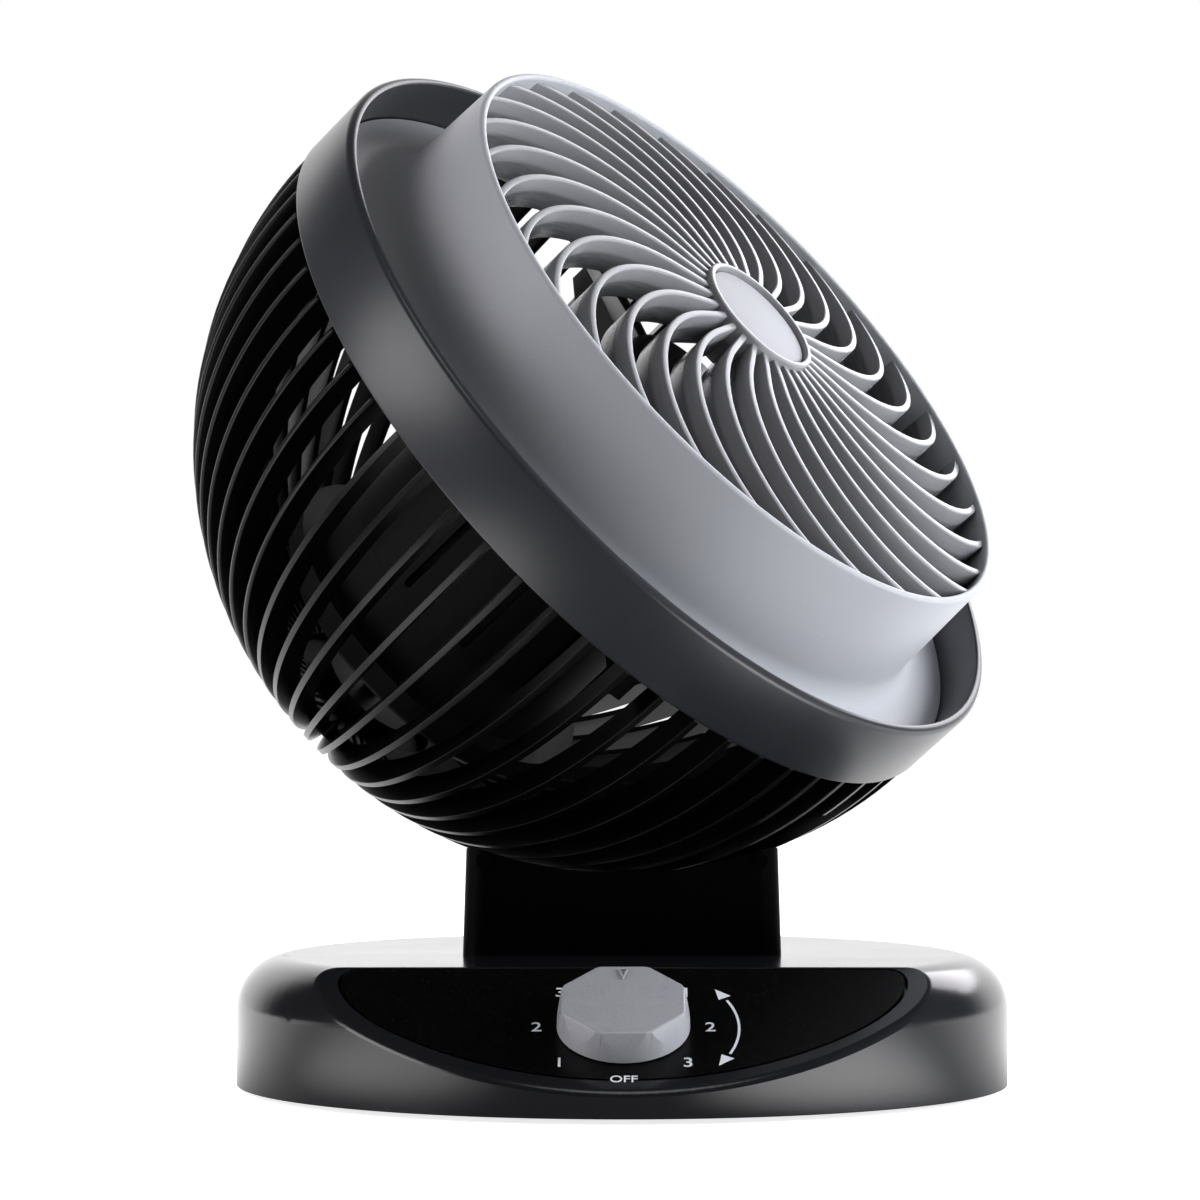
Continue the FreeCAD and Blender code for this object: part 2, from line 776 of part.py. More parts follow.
def make_shroud():
    flare = size("shroud_flare")
    wall_foot = size("shroud_foot")
    foot = wall_foot + flare
    flange = size(BAND_INNER + " - shroud_fit")
    start = shroud_floor + flare
    bend = math.sqrt(0.5)
    deep = flare + shroud_wall
    lip = shroud_wall / 2
    low = size("ledge_thick")
    points = {
        "flange_back": Vector(flange, 0, low),
        "flange_front": Vector(flange, 0, shroud_floor),
        "flare_foot": Vector(foot, 0, shroud_floor),
        "flare_middle": Vector(foot - flare * bend, 0, start - flare * bend),
        "wall_foot": Vector(wall_foot, 0, start),
        "rim_outside": Vector(rim_radius, 0, rim_front - lip),
        "rim_top": Vector(rim_radius - lip, 0, rim_front),
        "rim_inside": Vector(rim_radius - shroud_wall, 0, rim_front - lip),
        "inner_foot": Vector(wall_foot - shroud_wall, 0, start),
        "inner_middle": Vector(foot - deep * bend, 0, start - deep * bend),
        "inner_back": Vector(foot, 0, low),
    }
    p = points
    edges = [
        line(p["flange_back"], p["flange_front"]),
        line(p["flange_front"], p["flare_foot"]),
        arc(p["flare_foot"], p["flare_middle"], p["wall_foot"]),
        line(p["wall_foot"], p["rim_outside"]),
        arc(p["rim_outside"], p["rim_top"], p["rim_inside"]),
        line(p["rim_inside"], p["inner_foot"]),
        arc(p["inner_foot"], p["inner_middle"], p["inner_back"]),
        line(p["inner_back"], p["flange_back"]),
    ]
    return revolve(edges)


feature("front_shroud", make_shroud(), HEAD)

screw_circle = size(BAND_INNER + " - ledge_width / 2")
screw_seat = Vector(screw_circle, 0, -size("trim_head"))
shroud_screw = Part.makeCylinder(size("trim_radius"), size("trim_head"), screw_seat)
between_ribs = 180 / CAGE_RIBS
feature("shroud_screws", Part.Compound(round_about(shroud_screw, STRUTS, between_ribs)), HEAD)


# Spiral grille: deep ribs that leave the hub straight and curl round to the shroud
def wall_inside(height):
    """Inner radius of the shroud's tapered wall at a height along the axis."""
    low = shroud_floor + size("shroud_flare")
    high = rim_front - shroud_wall / 2
    share = (height - low) / (high - low)
    foot = size("shroud_foot") - shroud_wall
    return foot + share * (rim_radius - shroud_wall - foot)


def dome_ball(rim_height, rim):
    """A large ball whose cap passes through a circle of the given radius at a height."""
    dome = size("grille_dome")
    rise = math.sqrt(dome * dome - rim * rim)
    return Part.makeSphere(dome, Vector(0, 0, rim_height - rise))


def make_grille_rib():
    """One rib: straight out from the hub, then a round curl to the shroud."""
    half = size("grille_thick") / 2
    straight = size("spiral_start")
    radius = size("spiral_radius")
    start = size("hub_radius - hub_wall")
    low = size("ledge_thick")

    def curl(offset, angle):
        turn = math.radians(angle)
        reach = radius - offset
        return Vector(straight + reach * math.sin(turn), radius - reach * math.cos(turn), low)

    edges = [
        line(Vector(start, half, low), Vector(straight, half, low)),
        arc(curl(half, 0), curl(half, 50), curl(half, 100)),
        line(curl(half, 100), curl(-half, 100)),
        arc(curl(-half, 100), curl(-half, 50), curl(-half, 0)),
        line(Vector(straight, -half, low), Vector(start, -half, low)),
        line(Vector(start, -half, low), Vector(start, half, low)),
    ]
    front = rim_front - size("grille_recess")
    back = front - size("grille_depth")
    rim = wall_inside(front)
    plate = Part.Face(Part.Wire(edges)).extrude(Vector(0, 0, size("hub_front") - low))
    opening = Part.makeCone(wall_inside(low), wall_inside(rim_front), rim_front - low, Vector(0, 0, low))
    chimney = Part.makeCylinder(rim, size("hub_front"), Vector(0, 0, rim_front))
    hub = Part.makeCylinder(size("hub_radius"), size("hub_front"), Vector(0, 0, 0))
    rib = plate.common(opening.fuse(chimney)).cut(hub)
    return rib.common(dome_ball(front, rim)).cut(dome_ball(back, rim))


feature("grille_ribs", Part.Compound(round_about(make_grille_rib(), GRILLE_RIBS)), HEAD)

MEDALLION_BACK = "(hub_front - medallion_drop - medallion_thick)"
turned(
    "grille_hub",
    [
        ("0", MEDALLION_BACK + " - hub_floor"),
        ("hub_radius - hub_wall", MEDALLION_BACK + " - hub_floor"),
        ("hub_radius - hub_wall", "hub_back"),
        ("hub_radius", "hub_back"),
        ("hub_radius", "hub_front"),
        ("hub_radius - hub_wall", "hub_front"),
        ("hub_radius - hub_wall", MEDALLION_BACK),
        ("0", MEDALLION_BACK),
    ],
    HEAD,
)
turned(
    "grille_medallion",
    [
        ("0", MEDALLION_BACK),
        ("hub_radius - hub_wall - medallion_fit", MEDALLION_BACK),
        ("hub_radius - hub_wall - medallion_fit", "hub_front - medallion_drop"),
        ("0", "hub_front - medallion_drop"),
    ],
    HEAD,
)

# Motor: a round pod behind a four-armed spider, tied to the rear hub by a rod
CAP_BACK = "(-cap_front - cap_thick)"
turned(
    "motor_cap",
    [
        ("0", CAP_BACK),
        ("cap_radius - cap_edge", CAP_BACK),
        ("cap_radius", CAP_BACK + " + cap_edge"),
        ("cap_radius", "-cap_front"),
        ("pod_radius", "-cap_front"),
        ("pod_radius", "-pod_rear"),
        ("bearing_radius", "-pod_rear"),
        ("bearing_radius", "-pod_rear - bearing_length"),
        ("0", "-pod_rear - bearing_length"),
    ],
    HEAD,
)


def make_motor_case():
    """The pod's wall, with a ring of long vents that have round ends."""
    low = -size("pod_rear")
    high = -size("pod_front")
    inner = size("pod_radius - pod_wall")
    outer = size("pod_radius")
    case = Part.makeCylinder(outer, high - low, Vector(0, 0, low))
    case = case.cut(Part.makeCylinder(inner, high - low, Vector(0, 0, low)))
    half = size("vent_width") / 2
    inset = size("vent_inset") + half
    vent = box(0, outer + overrun, -half, half, low + inset, high - inset)
    across = Vector(1, 0, 0)
    ends = [
        Part.makeCylinder(half, outer + overrun, Vector(0, 0, height), across)
        for height in (low + inset, high - inset)
    ]
    vent = vent.fuse(ends)
    vent.rotate(Vector(0, 0, 0), Vector(0, 0, 1), size("vent_turn"))
    return case.cut(round_about(vent, VENTS))


feature("motor_case", make_motor_case(), HEAD)
STATOR_BACK = "(-stator_front - stator_length)"
tube("motor_stator", "rotor_radius + rotor_gap", "pod_radius - pod_wall", STATOR_BACK, "-stator_front", HEAD)
tube(
    "rear_bearing",
    "shaft_radius + shaft_fit",
    "bearing_radius",
    "-pod_rear - bearing_length",
    "-pod_rear",
    HEAD,
)
tube(
    "front_bearing",
    "shaft_radius + shaft_fit",
    "bearing_radius",
    "-pod_front + spider_thick - bearing_length",
    "-pod_front + spider_thick",
    HEAD,
)


def make_spider():
    back = -size("pod_front")
    disc = Part.makeCylinder(size("pod_radius"), size("spider_thick"), Vector(0, 0, back))
    reach = size(BAND_INNER + " - ledge_width")
    half = size("strut_thick") / 2
    strut = box(size("bearing_radius"), reach + overrun, -half, half, back, back + size("strut_depth"))
    outside = Part.makeCylinder(size("pod_radius"), size("strut_depth"), Vector(0, 0, back))
    limit = Part.makeCylinder(reach, size("strut_depth"), Vector(0, 0, back))
    strut = strut.common(limit).cut(outside)
    spider = disc.fuse(round_about(strut, STRUTS, half_step))
    seat = Part.makeCylinder(size("bearing_radius"), size("strut_depth"), Vector(0, 0, back))
    return spider.cut(seat)


feature("motor_spider", make_spider(), HEAD)
tie = doc.addObject("Part::MultiFuse", "tie_form")
tie.Shapes = [
    cylinder("tie_boss", "boss_radius", "ball_radius - boss_front", "-ball_radius"),
    cylinder("tie_rod", "rod_radius", "boss_front - cap_front - cap_thick", "-boss_front"),
]
node(combine("Common", "motor_tie", tie, sphere("tie_limit", "ball_radius - hub_depth")), HEAD)

# Fan wheel on the motor's shaft
WHEEL_FRONT = "(wheel_back + wheel_length)"
turned(
    "motor_shaft",
    [
        ("0", "-pod_rear - bearing_length + retainer_gap"),
        ("shaft_radius", "-pod_rear - bearing_length + retainer_gap"),
        ("shaft_radius", WHEEL_FRONT),
        ("0", WHEEL_FRONT),
    ],
    HEAD,
)
ROTOR_BACK = STATOR_BACK + " + rotor_short"
tube("motor_rotor", "shaft_radius", "rotor_radius", ROTOR_BACK, "-stator_front - rotor_short", HEAD)


def blade_section(radius, chord, pitch):
    """A thin cambered section across a radius that lies along X."""
    half = chord / 2
    edge = size("blade_edge") / 2
    thick = size("blade_thick") / 2
    camber = size("blade_camber")
    turn = FreeCAD.Rotation(Vector(1, 0, 0), pitch)
    shift = Vector(radius, 0, size("blade_middle"))

    def point(along, up):
        return turn.multVec(Vector(0, along, up - camber / 2)) + shift

    edges = [
        arc(point(-half, edge), point(0, camber + thick), point(half, edge)),
        line(point(half, edge), point(half, -edge)),
        arc(point(half, -edge), point(0, camber - thick), point(-half, -edge)),
        line(point(-half, -edge), point(-half, edge)),
    ]
    return Part.Wire(edges)


def make_wheel():
    tip = size("blade_radius")
    sections = []
    for radius_share, chord_share, pitch in zip(BLADE_RADIUS_SHARES, BLADE_CHORD_SHARES, BLADE_PITCH):
        sections.append(blade_section(tip * radius_share, tip * chord_share, pitch))
    blade = Part.makeLoft(sections, True)
    back = size("wheel_back")
    length = size("wheel_length")
    rounding = size("wheel_round")
    radius = size("wheel_radius")
    blade = blade.common(Part.makeCylinder(tip, 2 * rim_front, Vector(0, 0, back - rim_front)))
    boss = base_form(radius, back, back + length, rounding)
    wheel = boss.fuse(round_about(blade, BLADES))
    bore = Part.makeCylinder(size("shaft_radius"), length + 2 * overrun, Vector(0, 0, back - overrun))
    return wheel.cut(bore)


feature("fan_wheel", make_wheel(), HEAD)
turned(
    "wheel_nut",
    [
        ("0", WHEEL_FRONT),
        ("nut_radius", WHEEL_FRONT),
        ("nut_radius", WHEEL_FRONT + " + nut_length"),
        ("0", WHEEL_FRONT + " + nut_length"),
    ],
    HEAD,
)

doc.recompute()
failed = [item.Label for item in doc.Objects if "Invalid" in item.State or "Error" in item.State]
for item in NODES:
    if item.Shape.isNull() or not item.Shape.isValid() or not item.Shape.Solids:
        failed.append(item.Label)
if failed:
    raise RuntimeError("These objects failed: " + ", ".join(failed))

os.makedirs("parts", exist_ok=True)
for item in NODES:
    item.Shape.exportStep("parts/%s.step" % item.Label)
print("%d sub-parts written" % len(NODES))
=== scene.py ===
import json
import math

import bmesh
import bpy
from bmesh.types import BMEdge, BMFace, BMVert
from mathutils import Matrix, Vector


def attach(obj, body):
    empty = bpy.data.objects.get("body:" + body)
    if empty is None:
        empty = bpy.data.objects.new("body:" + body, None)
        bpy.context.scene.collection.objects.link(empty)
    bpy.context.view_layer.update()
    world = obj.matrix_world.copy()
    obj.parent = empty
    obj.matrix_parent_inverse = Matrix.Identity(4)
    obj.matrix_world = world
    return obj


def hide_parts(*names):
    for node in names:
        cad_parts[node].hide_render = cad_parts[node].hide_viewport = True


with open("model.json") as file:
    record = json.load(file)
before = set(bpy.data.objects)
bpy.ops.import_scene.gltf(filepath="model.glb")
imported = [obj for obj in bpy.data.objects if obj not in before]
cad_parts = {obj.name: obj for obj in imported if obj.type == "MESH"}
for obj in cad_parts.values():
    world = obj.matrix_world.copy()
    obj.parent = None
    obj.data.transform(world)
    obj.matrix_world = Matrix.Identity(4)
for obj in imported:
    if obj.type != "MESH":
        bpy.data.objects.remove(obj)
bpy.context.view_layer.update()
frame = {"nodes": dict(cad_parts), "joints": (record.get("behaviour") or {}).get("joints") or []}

bl_info = {
    "name": "Table fan looks",
    "version": (1, 0, 0),
    "blender": (4, 2, 0),
    "location": "View3D > Sidebar > Fan",
    "description": "Dresses the solids of an oscillating table fan",
    "category": "Object",
}

TINY = 1e-5
MERGED = TINY / 10

# Roundings that the dressed CAD nodes share, in metres
EDGE_FINE = 0.0002
EDGE_SMALL = 0.0003
EDGE_SOFT = 0.0004
EDGE_NECK = 0.0006
EDGE_PANEL = 0.00015

# Steps of a turn, for the large and the small turned forms
LARGE_TURN = 192
SMALL_TURN = 96

KNOB_SIDES = 8
KNOB_LEAN = math.radians(13.4)
KNOB_STEPS = 128
RIB_COUNT = 30
RIB_CURL = math.radians(112)
RIB_STEPS = 56
BLADE_COUNT = 4
BLADE_REST = math.radians(64)
BLADE_SWEEP = 0.20

# Shares of a blade's length and width
BLADE_ROOT_WIDTH = 0.44
BLADE_FULL_WIDTH_AT = 0.72
BLADE_TIP_FROM = 0.80
BLADE_TIP_CUT = 0.62

# The dial's numerals with their places in degrees, and the arrow beside them
MARKS = [("1", 225), ("2", 180), ("3", 135), ("1", 45), ("2", 0), ("3", -45)]
LEVEL_MARK = 0.965
OFF_SHARE = 0.70
LETTER_SIZE = 1.36
LETTER_WIDTH = 0.98
ARROW_START = math.radians(-24)
ARROW_SWEEP = math.radians(49)
ARROW_STEPS = 24
ARROW_HEADS = ((31, 0), (-30, math.pi))

# The camera that was fitted to the photograph
CAMERA_PLACE = (-0.0063, -1.4, 0.1298)
CAMERA_PITCH = math.radians(90.39)
CAMERA_LENS = 146.6
CAMERA_SENSOR = 36

# Lamps: name, place, target, width and height, watts, tint, and whether surfaces mirror it
COOL = (0.92, 0.95, 1.0)
VIOLET = (0.96, 0.94, 1.0)
LAMPS = (
    ("left_box", (-1.20, -0.30, 0.56), (0, 0, 0.18), (1.0, 0.95), 17, VIOLET, False),
    ("right_box", (1.07, -0.10, 0.26), (0, 0, 0.15), (1.0, 0.9), 40, COOL, False),
    ("rim_box", (0.78, 1.12, 0.88), (0, 0, 0.2), (0.8, 0.8), 7, VIOLET, True),
    ("top_box", (-0.20, 0.55, 1.45), (0, 0, 0.15), (1.0, 0.8), 4, VIOLET, False),
)

NODES = frame["nodes"]
JOINTS = {joint["name"]: joint for joint in frame["joints"]}


# Places
def frame_of(origin, across, forward):
    """A place whose X lies across, whose Z points forward and whose Y is up between them."""
    z = Vector(forward).normalized()
    x = Vector(across).normalized()
    y = z.cross(x)
    turn = Matrix((x, y, z)).transposed().to_4x4()
    return Matrix.Translation(Vector(origin)) @ turn


HEAD = frame_of(
    JOINTS["tilt"]["pos_m"], -Vector(JOINTS["tilt"]["axis"]), JOINTS["wheel_spin"]["axis"]
)
DIAL = frame_of(JOINTS["knob_turn"]["pos_m"], (1, 0, 0), JOINTS["knob_turn"]["axis"])


# Settings
def length(label, text, metres):
    return bpy.props.FloatProperty(
        name=label, description=text, default=metres, unit="LENGTH", precision=5
    )


def colour(label, text, level):
    return bpy.props.FloatVectorProperty(
        name=label, description=text, default=level, subtype="COLOR", min=0, max=1
    )


class FanSizes(bpy.types.PropertyGroup):
    """Sizes of the pieces that are made here."""

    band_radius: length("Band radius", "Outside of the ring round the head", 0.1255)
    band_wall: length("Band wall", "Thickness of the ring round the head", 0.003)
    band_length: length("Band length", "Length of the ring along the axis", 0.0235)
    band_round: length("Band rounding", "Rounding of the ring's front edge", 0.0019)
    band_back_round: length("Band back rounding", "Rounding of its back edge", 0.0008)
    band_inner_round: length("Band inner rounding", "Rounding of its inner front edge", 0.0007)
    ledge_width: length("Ledge width", "Step inside the ring that carries the shroud", 0.0055)
    ledge_thick: length("Ledge height", "Height of that step along the axis", 0.006)
    flange_radius: length("Flange radius", "Outside of the shroud's foot", 0.1221)
    shroud_wall: length("Shroud wall", "Thickness of the front shroud", 0.0023)
    shroud_foot: length("Shroud foot", "Radius where the wall leaves the flare", 0.1032)
    shroud_flare: length("Shroud flare", "Rounding between the flange and the wall", 0.010)
    rim_radius: length("Rim radius", "Outside of the shroud's front rim", 0.101)
    rim_front: length("Rim front", "Front of the rim along the axis", 0.0518)
    rim_round: length("Rim rounding", "Rounding of the rim's outer edge", 0.0011)
    rim_inner_round: length("Rim inner rounding", "Rounding of the rim's inner edge", 0.0009)
    rib_thick: length("Rib thickness", "Thickness of a grille rib", 0.0022)
    rib_depth: length("Rib depth", "Depth of a grille rib", 0.012)
    rib_recess: length("Rib recess", "How far the ribs lie behind the rim", 0.002)
    rib_bite: length("Rib bite", "How far a rib's end goes into the shroud's wall", 0.0012)
    rib_round: length("Rib rounding", "Rounding of a rib's front edges", 0.0005)
    rib_back_round: length("Rib back rounding", "Rounding of a rib's back edges", 0.0004)
    dome_radius: length("Dome radius", "Radius of the grille's shallow dome", 0.570)
    spiral_start: length("Curl start", "Radius where a rib starts to curl", 0.032)
    spiral_radius: length("Curl radius", "Radius of the curl of a rib", 0.0508)
    hub_radius: length("Hub radius", "Outside of the grille's hub", 0.020)
    hub_wall: length("Hub wall", "Raised edge round the medallion", 0.0019)
    hub_front: length("Hub front", "Front of the hub along the axis", 0.0598)
    hub_back: length("Hub back", "Back of the hub along the axis", 0.0455)
    hub_round: length("Hub rounding", "Rounding of the hub's outer edge", 0.0007)
    hub_inner_round: length("Hub inner rounding", "Rounding of its inner edge and the disc", 0.0005)
    medallion_drop: length("Medallion drop", "From the hub's edge down to the medallion", 0.0016)
    medallion_thick: length("Medallion thickness", "Thickness of the disc and its seat", 0.003)
    medallion_gap: length("Medallion gap", "Gap between the disc and the hub", 0.0002)
    knob_radius: length("Knob radius", "Foot of the speed knob", 0.0180)
    knob_neck: length("Knob top radius", "Top of the knob's cone, before its flats", 0.0176)
    knob_flat: length("Knob flat", "Middle of the knob to a flat's top edge", 0.0165)
    knob_lift: length("Knob lift", "Gap between the knob and the panel", 0.0004)
    knob_height: length("Knob height", "Height of the speed knob", 0.0087)
    knob_bevel: length("Knob rounding", "Rounding of the knob's top edge", 0.0006)
    pointer_inset: length("Pointer inset", "From a flat's top edge to the pointer", 0.0036)
    pointer_across: length("Pointer width", "Scale of the pointer across", 0.0015)
    pointer_along: length("Pointer length", "Scale of the pointer along", 0.0032)
    pointer_line: length("Pointer line", "Width of the pointer's outline", 0.0004)
    pointer_thick: length("Pointer thickness", "Thickness of the pointer's outline", 0.0006)
    pointer_sunk: length("Pointer foot", "How far the pointer goes into the knob", 0.0001)
    blade_radius: length("Blade radius", "Outside of the fan blades", 0.0925)
    blade_root: length("Blade root", "Radius where a blade starts inside the boss", 0.0175)
    blade_chord: length("Blade width", "Greatest width of a blade along its twist", 0.072)
    blade_middle: length("Blade middle", "Middle of the blades along the axis", 0.020)
    blade_camber: length("Blade camber", "How far a blade bulges to the front", 0.0045)
    blade_thick: length("Blade thickness", "Thickness of a blade", 0.0018)
    blade_round: length("Blade rounding", "Rounding of a blade's edges", 0.0005)
    boss_radius: length("Boss radius", "Outside of the wheel's boss", 0.021)
    boss_back: length("Boss back", "Back of the boss along the axis", 0.005)
    boss_front: length("Boss front", "Front of the boss along the axis", 0.030)
    boss_round: length("Boss rounding", "Rounding of the boss's front edge", 0.005)
    boss_back_round: length("Boss back rounding", "Rounding of its back edge", 0.0008)
    shaft_radius: length("Shaft radius", "Bore of the boss", 0.004)
    mark_height: length("Numeral height", "Height of the printed numerals", 0.0046)
    mark_ring: length("Numeral ring", "Radius of the ring of numerals about the dial", 0.0243)
    mark_off: length("OFF drop", "From the dial's middle down to OFF", 0.0251)
    mark_swell: length("Print swell", "How far the print's outline grows", 0.00004)
    mark_thick: length("Print thickness", "Half the thickness of the letters", 0.00002)
    mark_lift: length("Print lift", "Middle of the letters above the panel", 0.00003)
    arrow_ring: length("Arrow ring", "Radius of the arrow's arc about the dial", 0.0312)
    arrow_line: length("Arrow line", "Width of the arrow's arc", 0.0007)
    arrow_stub: length("Arrow stub", "Length of the piece that the arc grows from", 0.0004)
    arrow_head: length("Arrow head", "Radius of the arrow's heads", 0.0021)
    arrow_thick: length("Arrow thickness", "Thickness of the arrow's print", 0.00004)
    arrow_lift: length("Arrow lift", "Back of the arrow above the panel", 0.00001)
    cage_bevel: length("Rib edge", "Rounding of the cage ribs", 0.0008)


class FanColours(bpy.types.PropertyGroup):
    """Colours of the finishes."""

    body: colour("Body black", "Moulded body", (0.0068, 0.0071, 0.0084))
    panel: colour("Panel black", "Control panel", (0.0010, 0.0010, 0.0010))
    shroud: colour("Shroud grey", "Front shroud", (0.285, 0.290, 0.306))
    # Painted shade: a darker copy of the shroud grey, for the grille ribs' shaded sides.
    grille: colour("Grille grey", "Ribs and hub of the grille", (0.190, 0.190, 0.198))
    knob: colour("Knob silver", "Speed knob", (0.258, 0.260, 0.274))
    medallion: colour("Medallion silver", "Disc in the grille's hub", (0.31, 0.306, 0.320))
    marks: colour("Print grey", "Printed marks", (0.60, 0.62, 0.65))
    rubber: colour("Rubber", "Feet", (0.018, 0.018, 0.018))
    # Painted shade: near black rather than grey, for the shade inside the cage.
    motor: colour("Motor grey", "Motor pod and its spider", (0.0028, 0.0029, 0.0027))
    wheel: colour("Wheel black", "Fan wheel", (0.0025, 0.0025, 0.0026))
    brass: colour("Winding brass", "Windings and bushes", (0.45, 0.24, 0.08))
    steel: colour("Steel", "Screws and shafts", (0.42, 0.42, 0.43))


# Shader building
class Value:
    """A socket that takes part in Python sums."""

    def __init__(self, nodes, socket):
        self.nodes = nodes
        self.socket = socket

    def maths(self, operation, first, second):
        made = self.nodes.add("Math", {"operation": operation}, {0: first, 1: second})
        return Value(self.nodes, made.outputs[0])

    def __add__(self, other):
        return self.maths("ADD", self, other)

    def __sub__(self, other):
        return self.maths("SUBTRACT", self, other)

    def __rsub__(self, other):
        return self.maths("SUBTRACT", other, self)

    def __mul__(self, other):
        return self.maths("MULTIPLY", self, other)

    def __gt__(self, other):
        return self.maths("GREATER_THAN", self, other)


class NodeTree:
    """Adds nodes to a material or to the world."""

    def __init__(self, owner):
        owner.use_nodes = True
        self.tree = owner.node_tree
        self.tree.nodes.clear()

    def add(self, kind, settings=None, inputs=None):
        """A node of a kind, with its settings first and then its sockets' values or links."""
        made = self.tree.nodes.new("ShaderNode" + kind)
        for name, setting in (settings or {}).items():
            if name == "stops":
                ramp = made.color_ramp
                for element, (position, tone) in zip(ramp.elements, setting):
                    element.position = position
                    element.color = (tone, tone, tone, 1)
            else:
                setattr(made, name, setting)
        for name, value in (inputs or {}).items():
            socket = made.inputs[name]
            if isinstance(value, Value):
                self.tree.links.new(value.socket, socket)
            else:
                socket.default_value = value
        return made

    def value(self, made, output=0):
        return Value(self, made.outputs[output])

    def smooth(self, value, span, levels):
        """A soft step from one level to another, while a value crosses a span."""
        inputs = {"Value": value, 1: span[0], 2: span[1], 3: levels[0], 4: levels[1]}
        return self.value(self.add("MapRange", {"interpolation_type": "SMOOTHSTEP"}, inputs))


class Finish(NodeTree):
    """A material built from Object coordinates."""

    def __init__(self, name, place=None):
        self.material = bpy.data.materials.new(name)
        super().__init__(self.material)
        self.shader = self.add("BsdfPrincipled")
        output = self.add("OutputMaterial")
        self.tree.links.new(self.shader.outputs[0], output.inputs["Surface"])
        self.coords = self.value(self.add("TexCoord"), "Object")
        if place is not None:
            turned_back = place.inverted()
            mapping = {
                "Vector": self.coords,
                "Location": turned_back.translation,
                "Rotation": turned_back.to_euler("XYZ"),
            }
            self.coords = self.value(self.add("Mapping", {"vector_type": "POINT"}, mapping))

    def noise(self, scale, detail=2.0, roughness=0.5, stretch=None):
        where = self.coords
        if stretch:
            where = self.value(self.add("Mapping", {}, {"Vector": where, "Scale": stretch}))
        inputs = {"Vector": where, "Scale": scale, "Detail": detail, "Roughness": roughness}
        return self.value(self.add("TexNoise", {}, inputs), "Fac")

    def specks(self, scale, low, high):
        """Small scattered spots, one where a cell's own tone is high."""
        cells = self.add("TexVoronoi", {"feature": "F1"}, {"Vector": self.coords, "Scale": scale})
        spot = self.ramp(self.value(cells, "Distance"), (low, 1), (high, 0))
        tone = self.value(self.add("SeparateColor", {}, {"Color": self.value(cells, "Color")}), 0)
        return spot * (tone > 0.6)

    def ramp(self, value, first, second):
        made = self.add("ValToRGB", {"stops": (first, second)}, {"Fac": value})
        return Value(self, self.add("SeparateColor", {}, {"Color": self.value(made)}).outputs[0])

    def blend(self, factor, first, second):
        """A colour between two colours."""
        inputs = {"Factor": factor, 6: as_colour(first), 7: as_colour(second)}
        made = self.add("Mix", {"data_type": "RGBA"}, inputs)
        return Value(self, made.outputs[2])

    def bump(self, height, strength, distance):
        inputs = {"Height": height, "Strength": strength, "Distance": distance}
        return self.value(self.add("Bump", {}, inputs))

    def surface(self, **inputs):
        for name, value in inputs.items():
            socket = self.shader.inputs[name.replace("_", " ").title().replace("Ior", "IOR")]
            if isinstance(value, Value):
                self.tree.links.new(value.socket, socket)
            else:
                socket.default_value = value
        return self.material


def as_colour(value):
    if isinstance(value, Value):
        return value
    return (value[0], value[1], value[2], 1)


def scaled(tone, by):
    return tuple(min(1, channel * by) for channel in tone)


FINISHES = {}


def finish(build):
    """The finish that a function builds, made once and named after it."""
    name = build.__name__
    if name not in FINISHES:
        FINISHES[name] = build(name)
    return FINISHES[name]


def colours():
    return bpy.context.scene.fan_colours


def sizes():
    return bpy.context.scene.fan_sizes


def moulded(name, tone, rough, gloss, grain_scale=2600, grain=0.10):
    """Moulded plastic: a fine spark grain, slow changes of gloss and a little dust."""
    made = Finish(name)
    cloud = made.noise(14, 3)
    fine = made.noise(grain_scale, 2)
    dust = made.specks(900, 0.10, 0.24)
    shade = made.blend(cloud, scaled(tone, 0.86), scaled(tone, 1.18))
    shade = made.blend(dust * 0.22, shade, scaled(tone, 2.6))
    return made.surface(
        base_color=shade,
        roughness=cloud * 0.10 + fine * 0.06 + (rough - 0.08),
        normal=made.bump(fine, grain, 0.0004),
        specular_ior_level=gloss,
    )


def body_black(name):
    return moulded(name, colours().body, 0.16, 0.5, 2600, 0.04)


# Painted shade: the body black made far darker for the neck and its screws, as the shade under the
# head.
def neck_black_painted_shade(name):
    return moulded(name, scaled(colours().body, 0.07), 0.50, 0.03)


# Painted shade: a darker copy of the body black, for the cage ribs and the parts beneath the head.
def cage_black_painted_shade(name):
    return moulded(name, scaled(colours().body, 0.25), 0.30, 0.26, 1800, 0.06)


def plate_black(name):
    return moulded(name, scaled(colours().body, 0.55), 0.55, 0.4, 1400, 0.22)


def wheel_black(name):
    return moulded(name, colours().wheel, 0.42, 0.3, 2000, 0.08)


# Painted shade: the motor's grey made near black, for the shade inside the cage; the rotary switch
# shares it.
def motor_grey(name):
    return moulded(name, colours().motor, 0.50, 0.08, 1600, 0.12)


# Painted light: twice the motor's painted-shade colour, for the cap's lit side.
def cap_grey_painted_light(name):
    return moulded(name, scaled(colours().motor, 2.0), 0.50, 0.05, 1600, 0.12)


# Painted shade: a darker copy of the body black, for the cage hub and the tilt track inside the
# cage.
def inner_black_painted_shade(name):
    return moulded(name, scaled(colours().body, 0.2), 0.50, 0.08, 1800, 0.08)


# Painted sheen: a lighter copy of the body black, standing in for the band's soft reflection.
def band_black_painted_sheen(name):
    return moulded(name, scaled(colours().body, 2.8), 0.30, 0.5, 2600, 0.04)


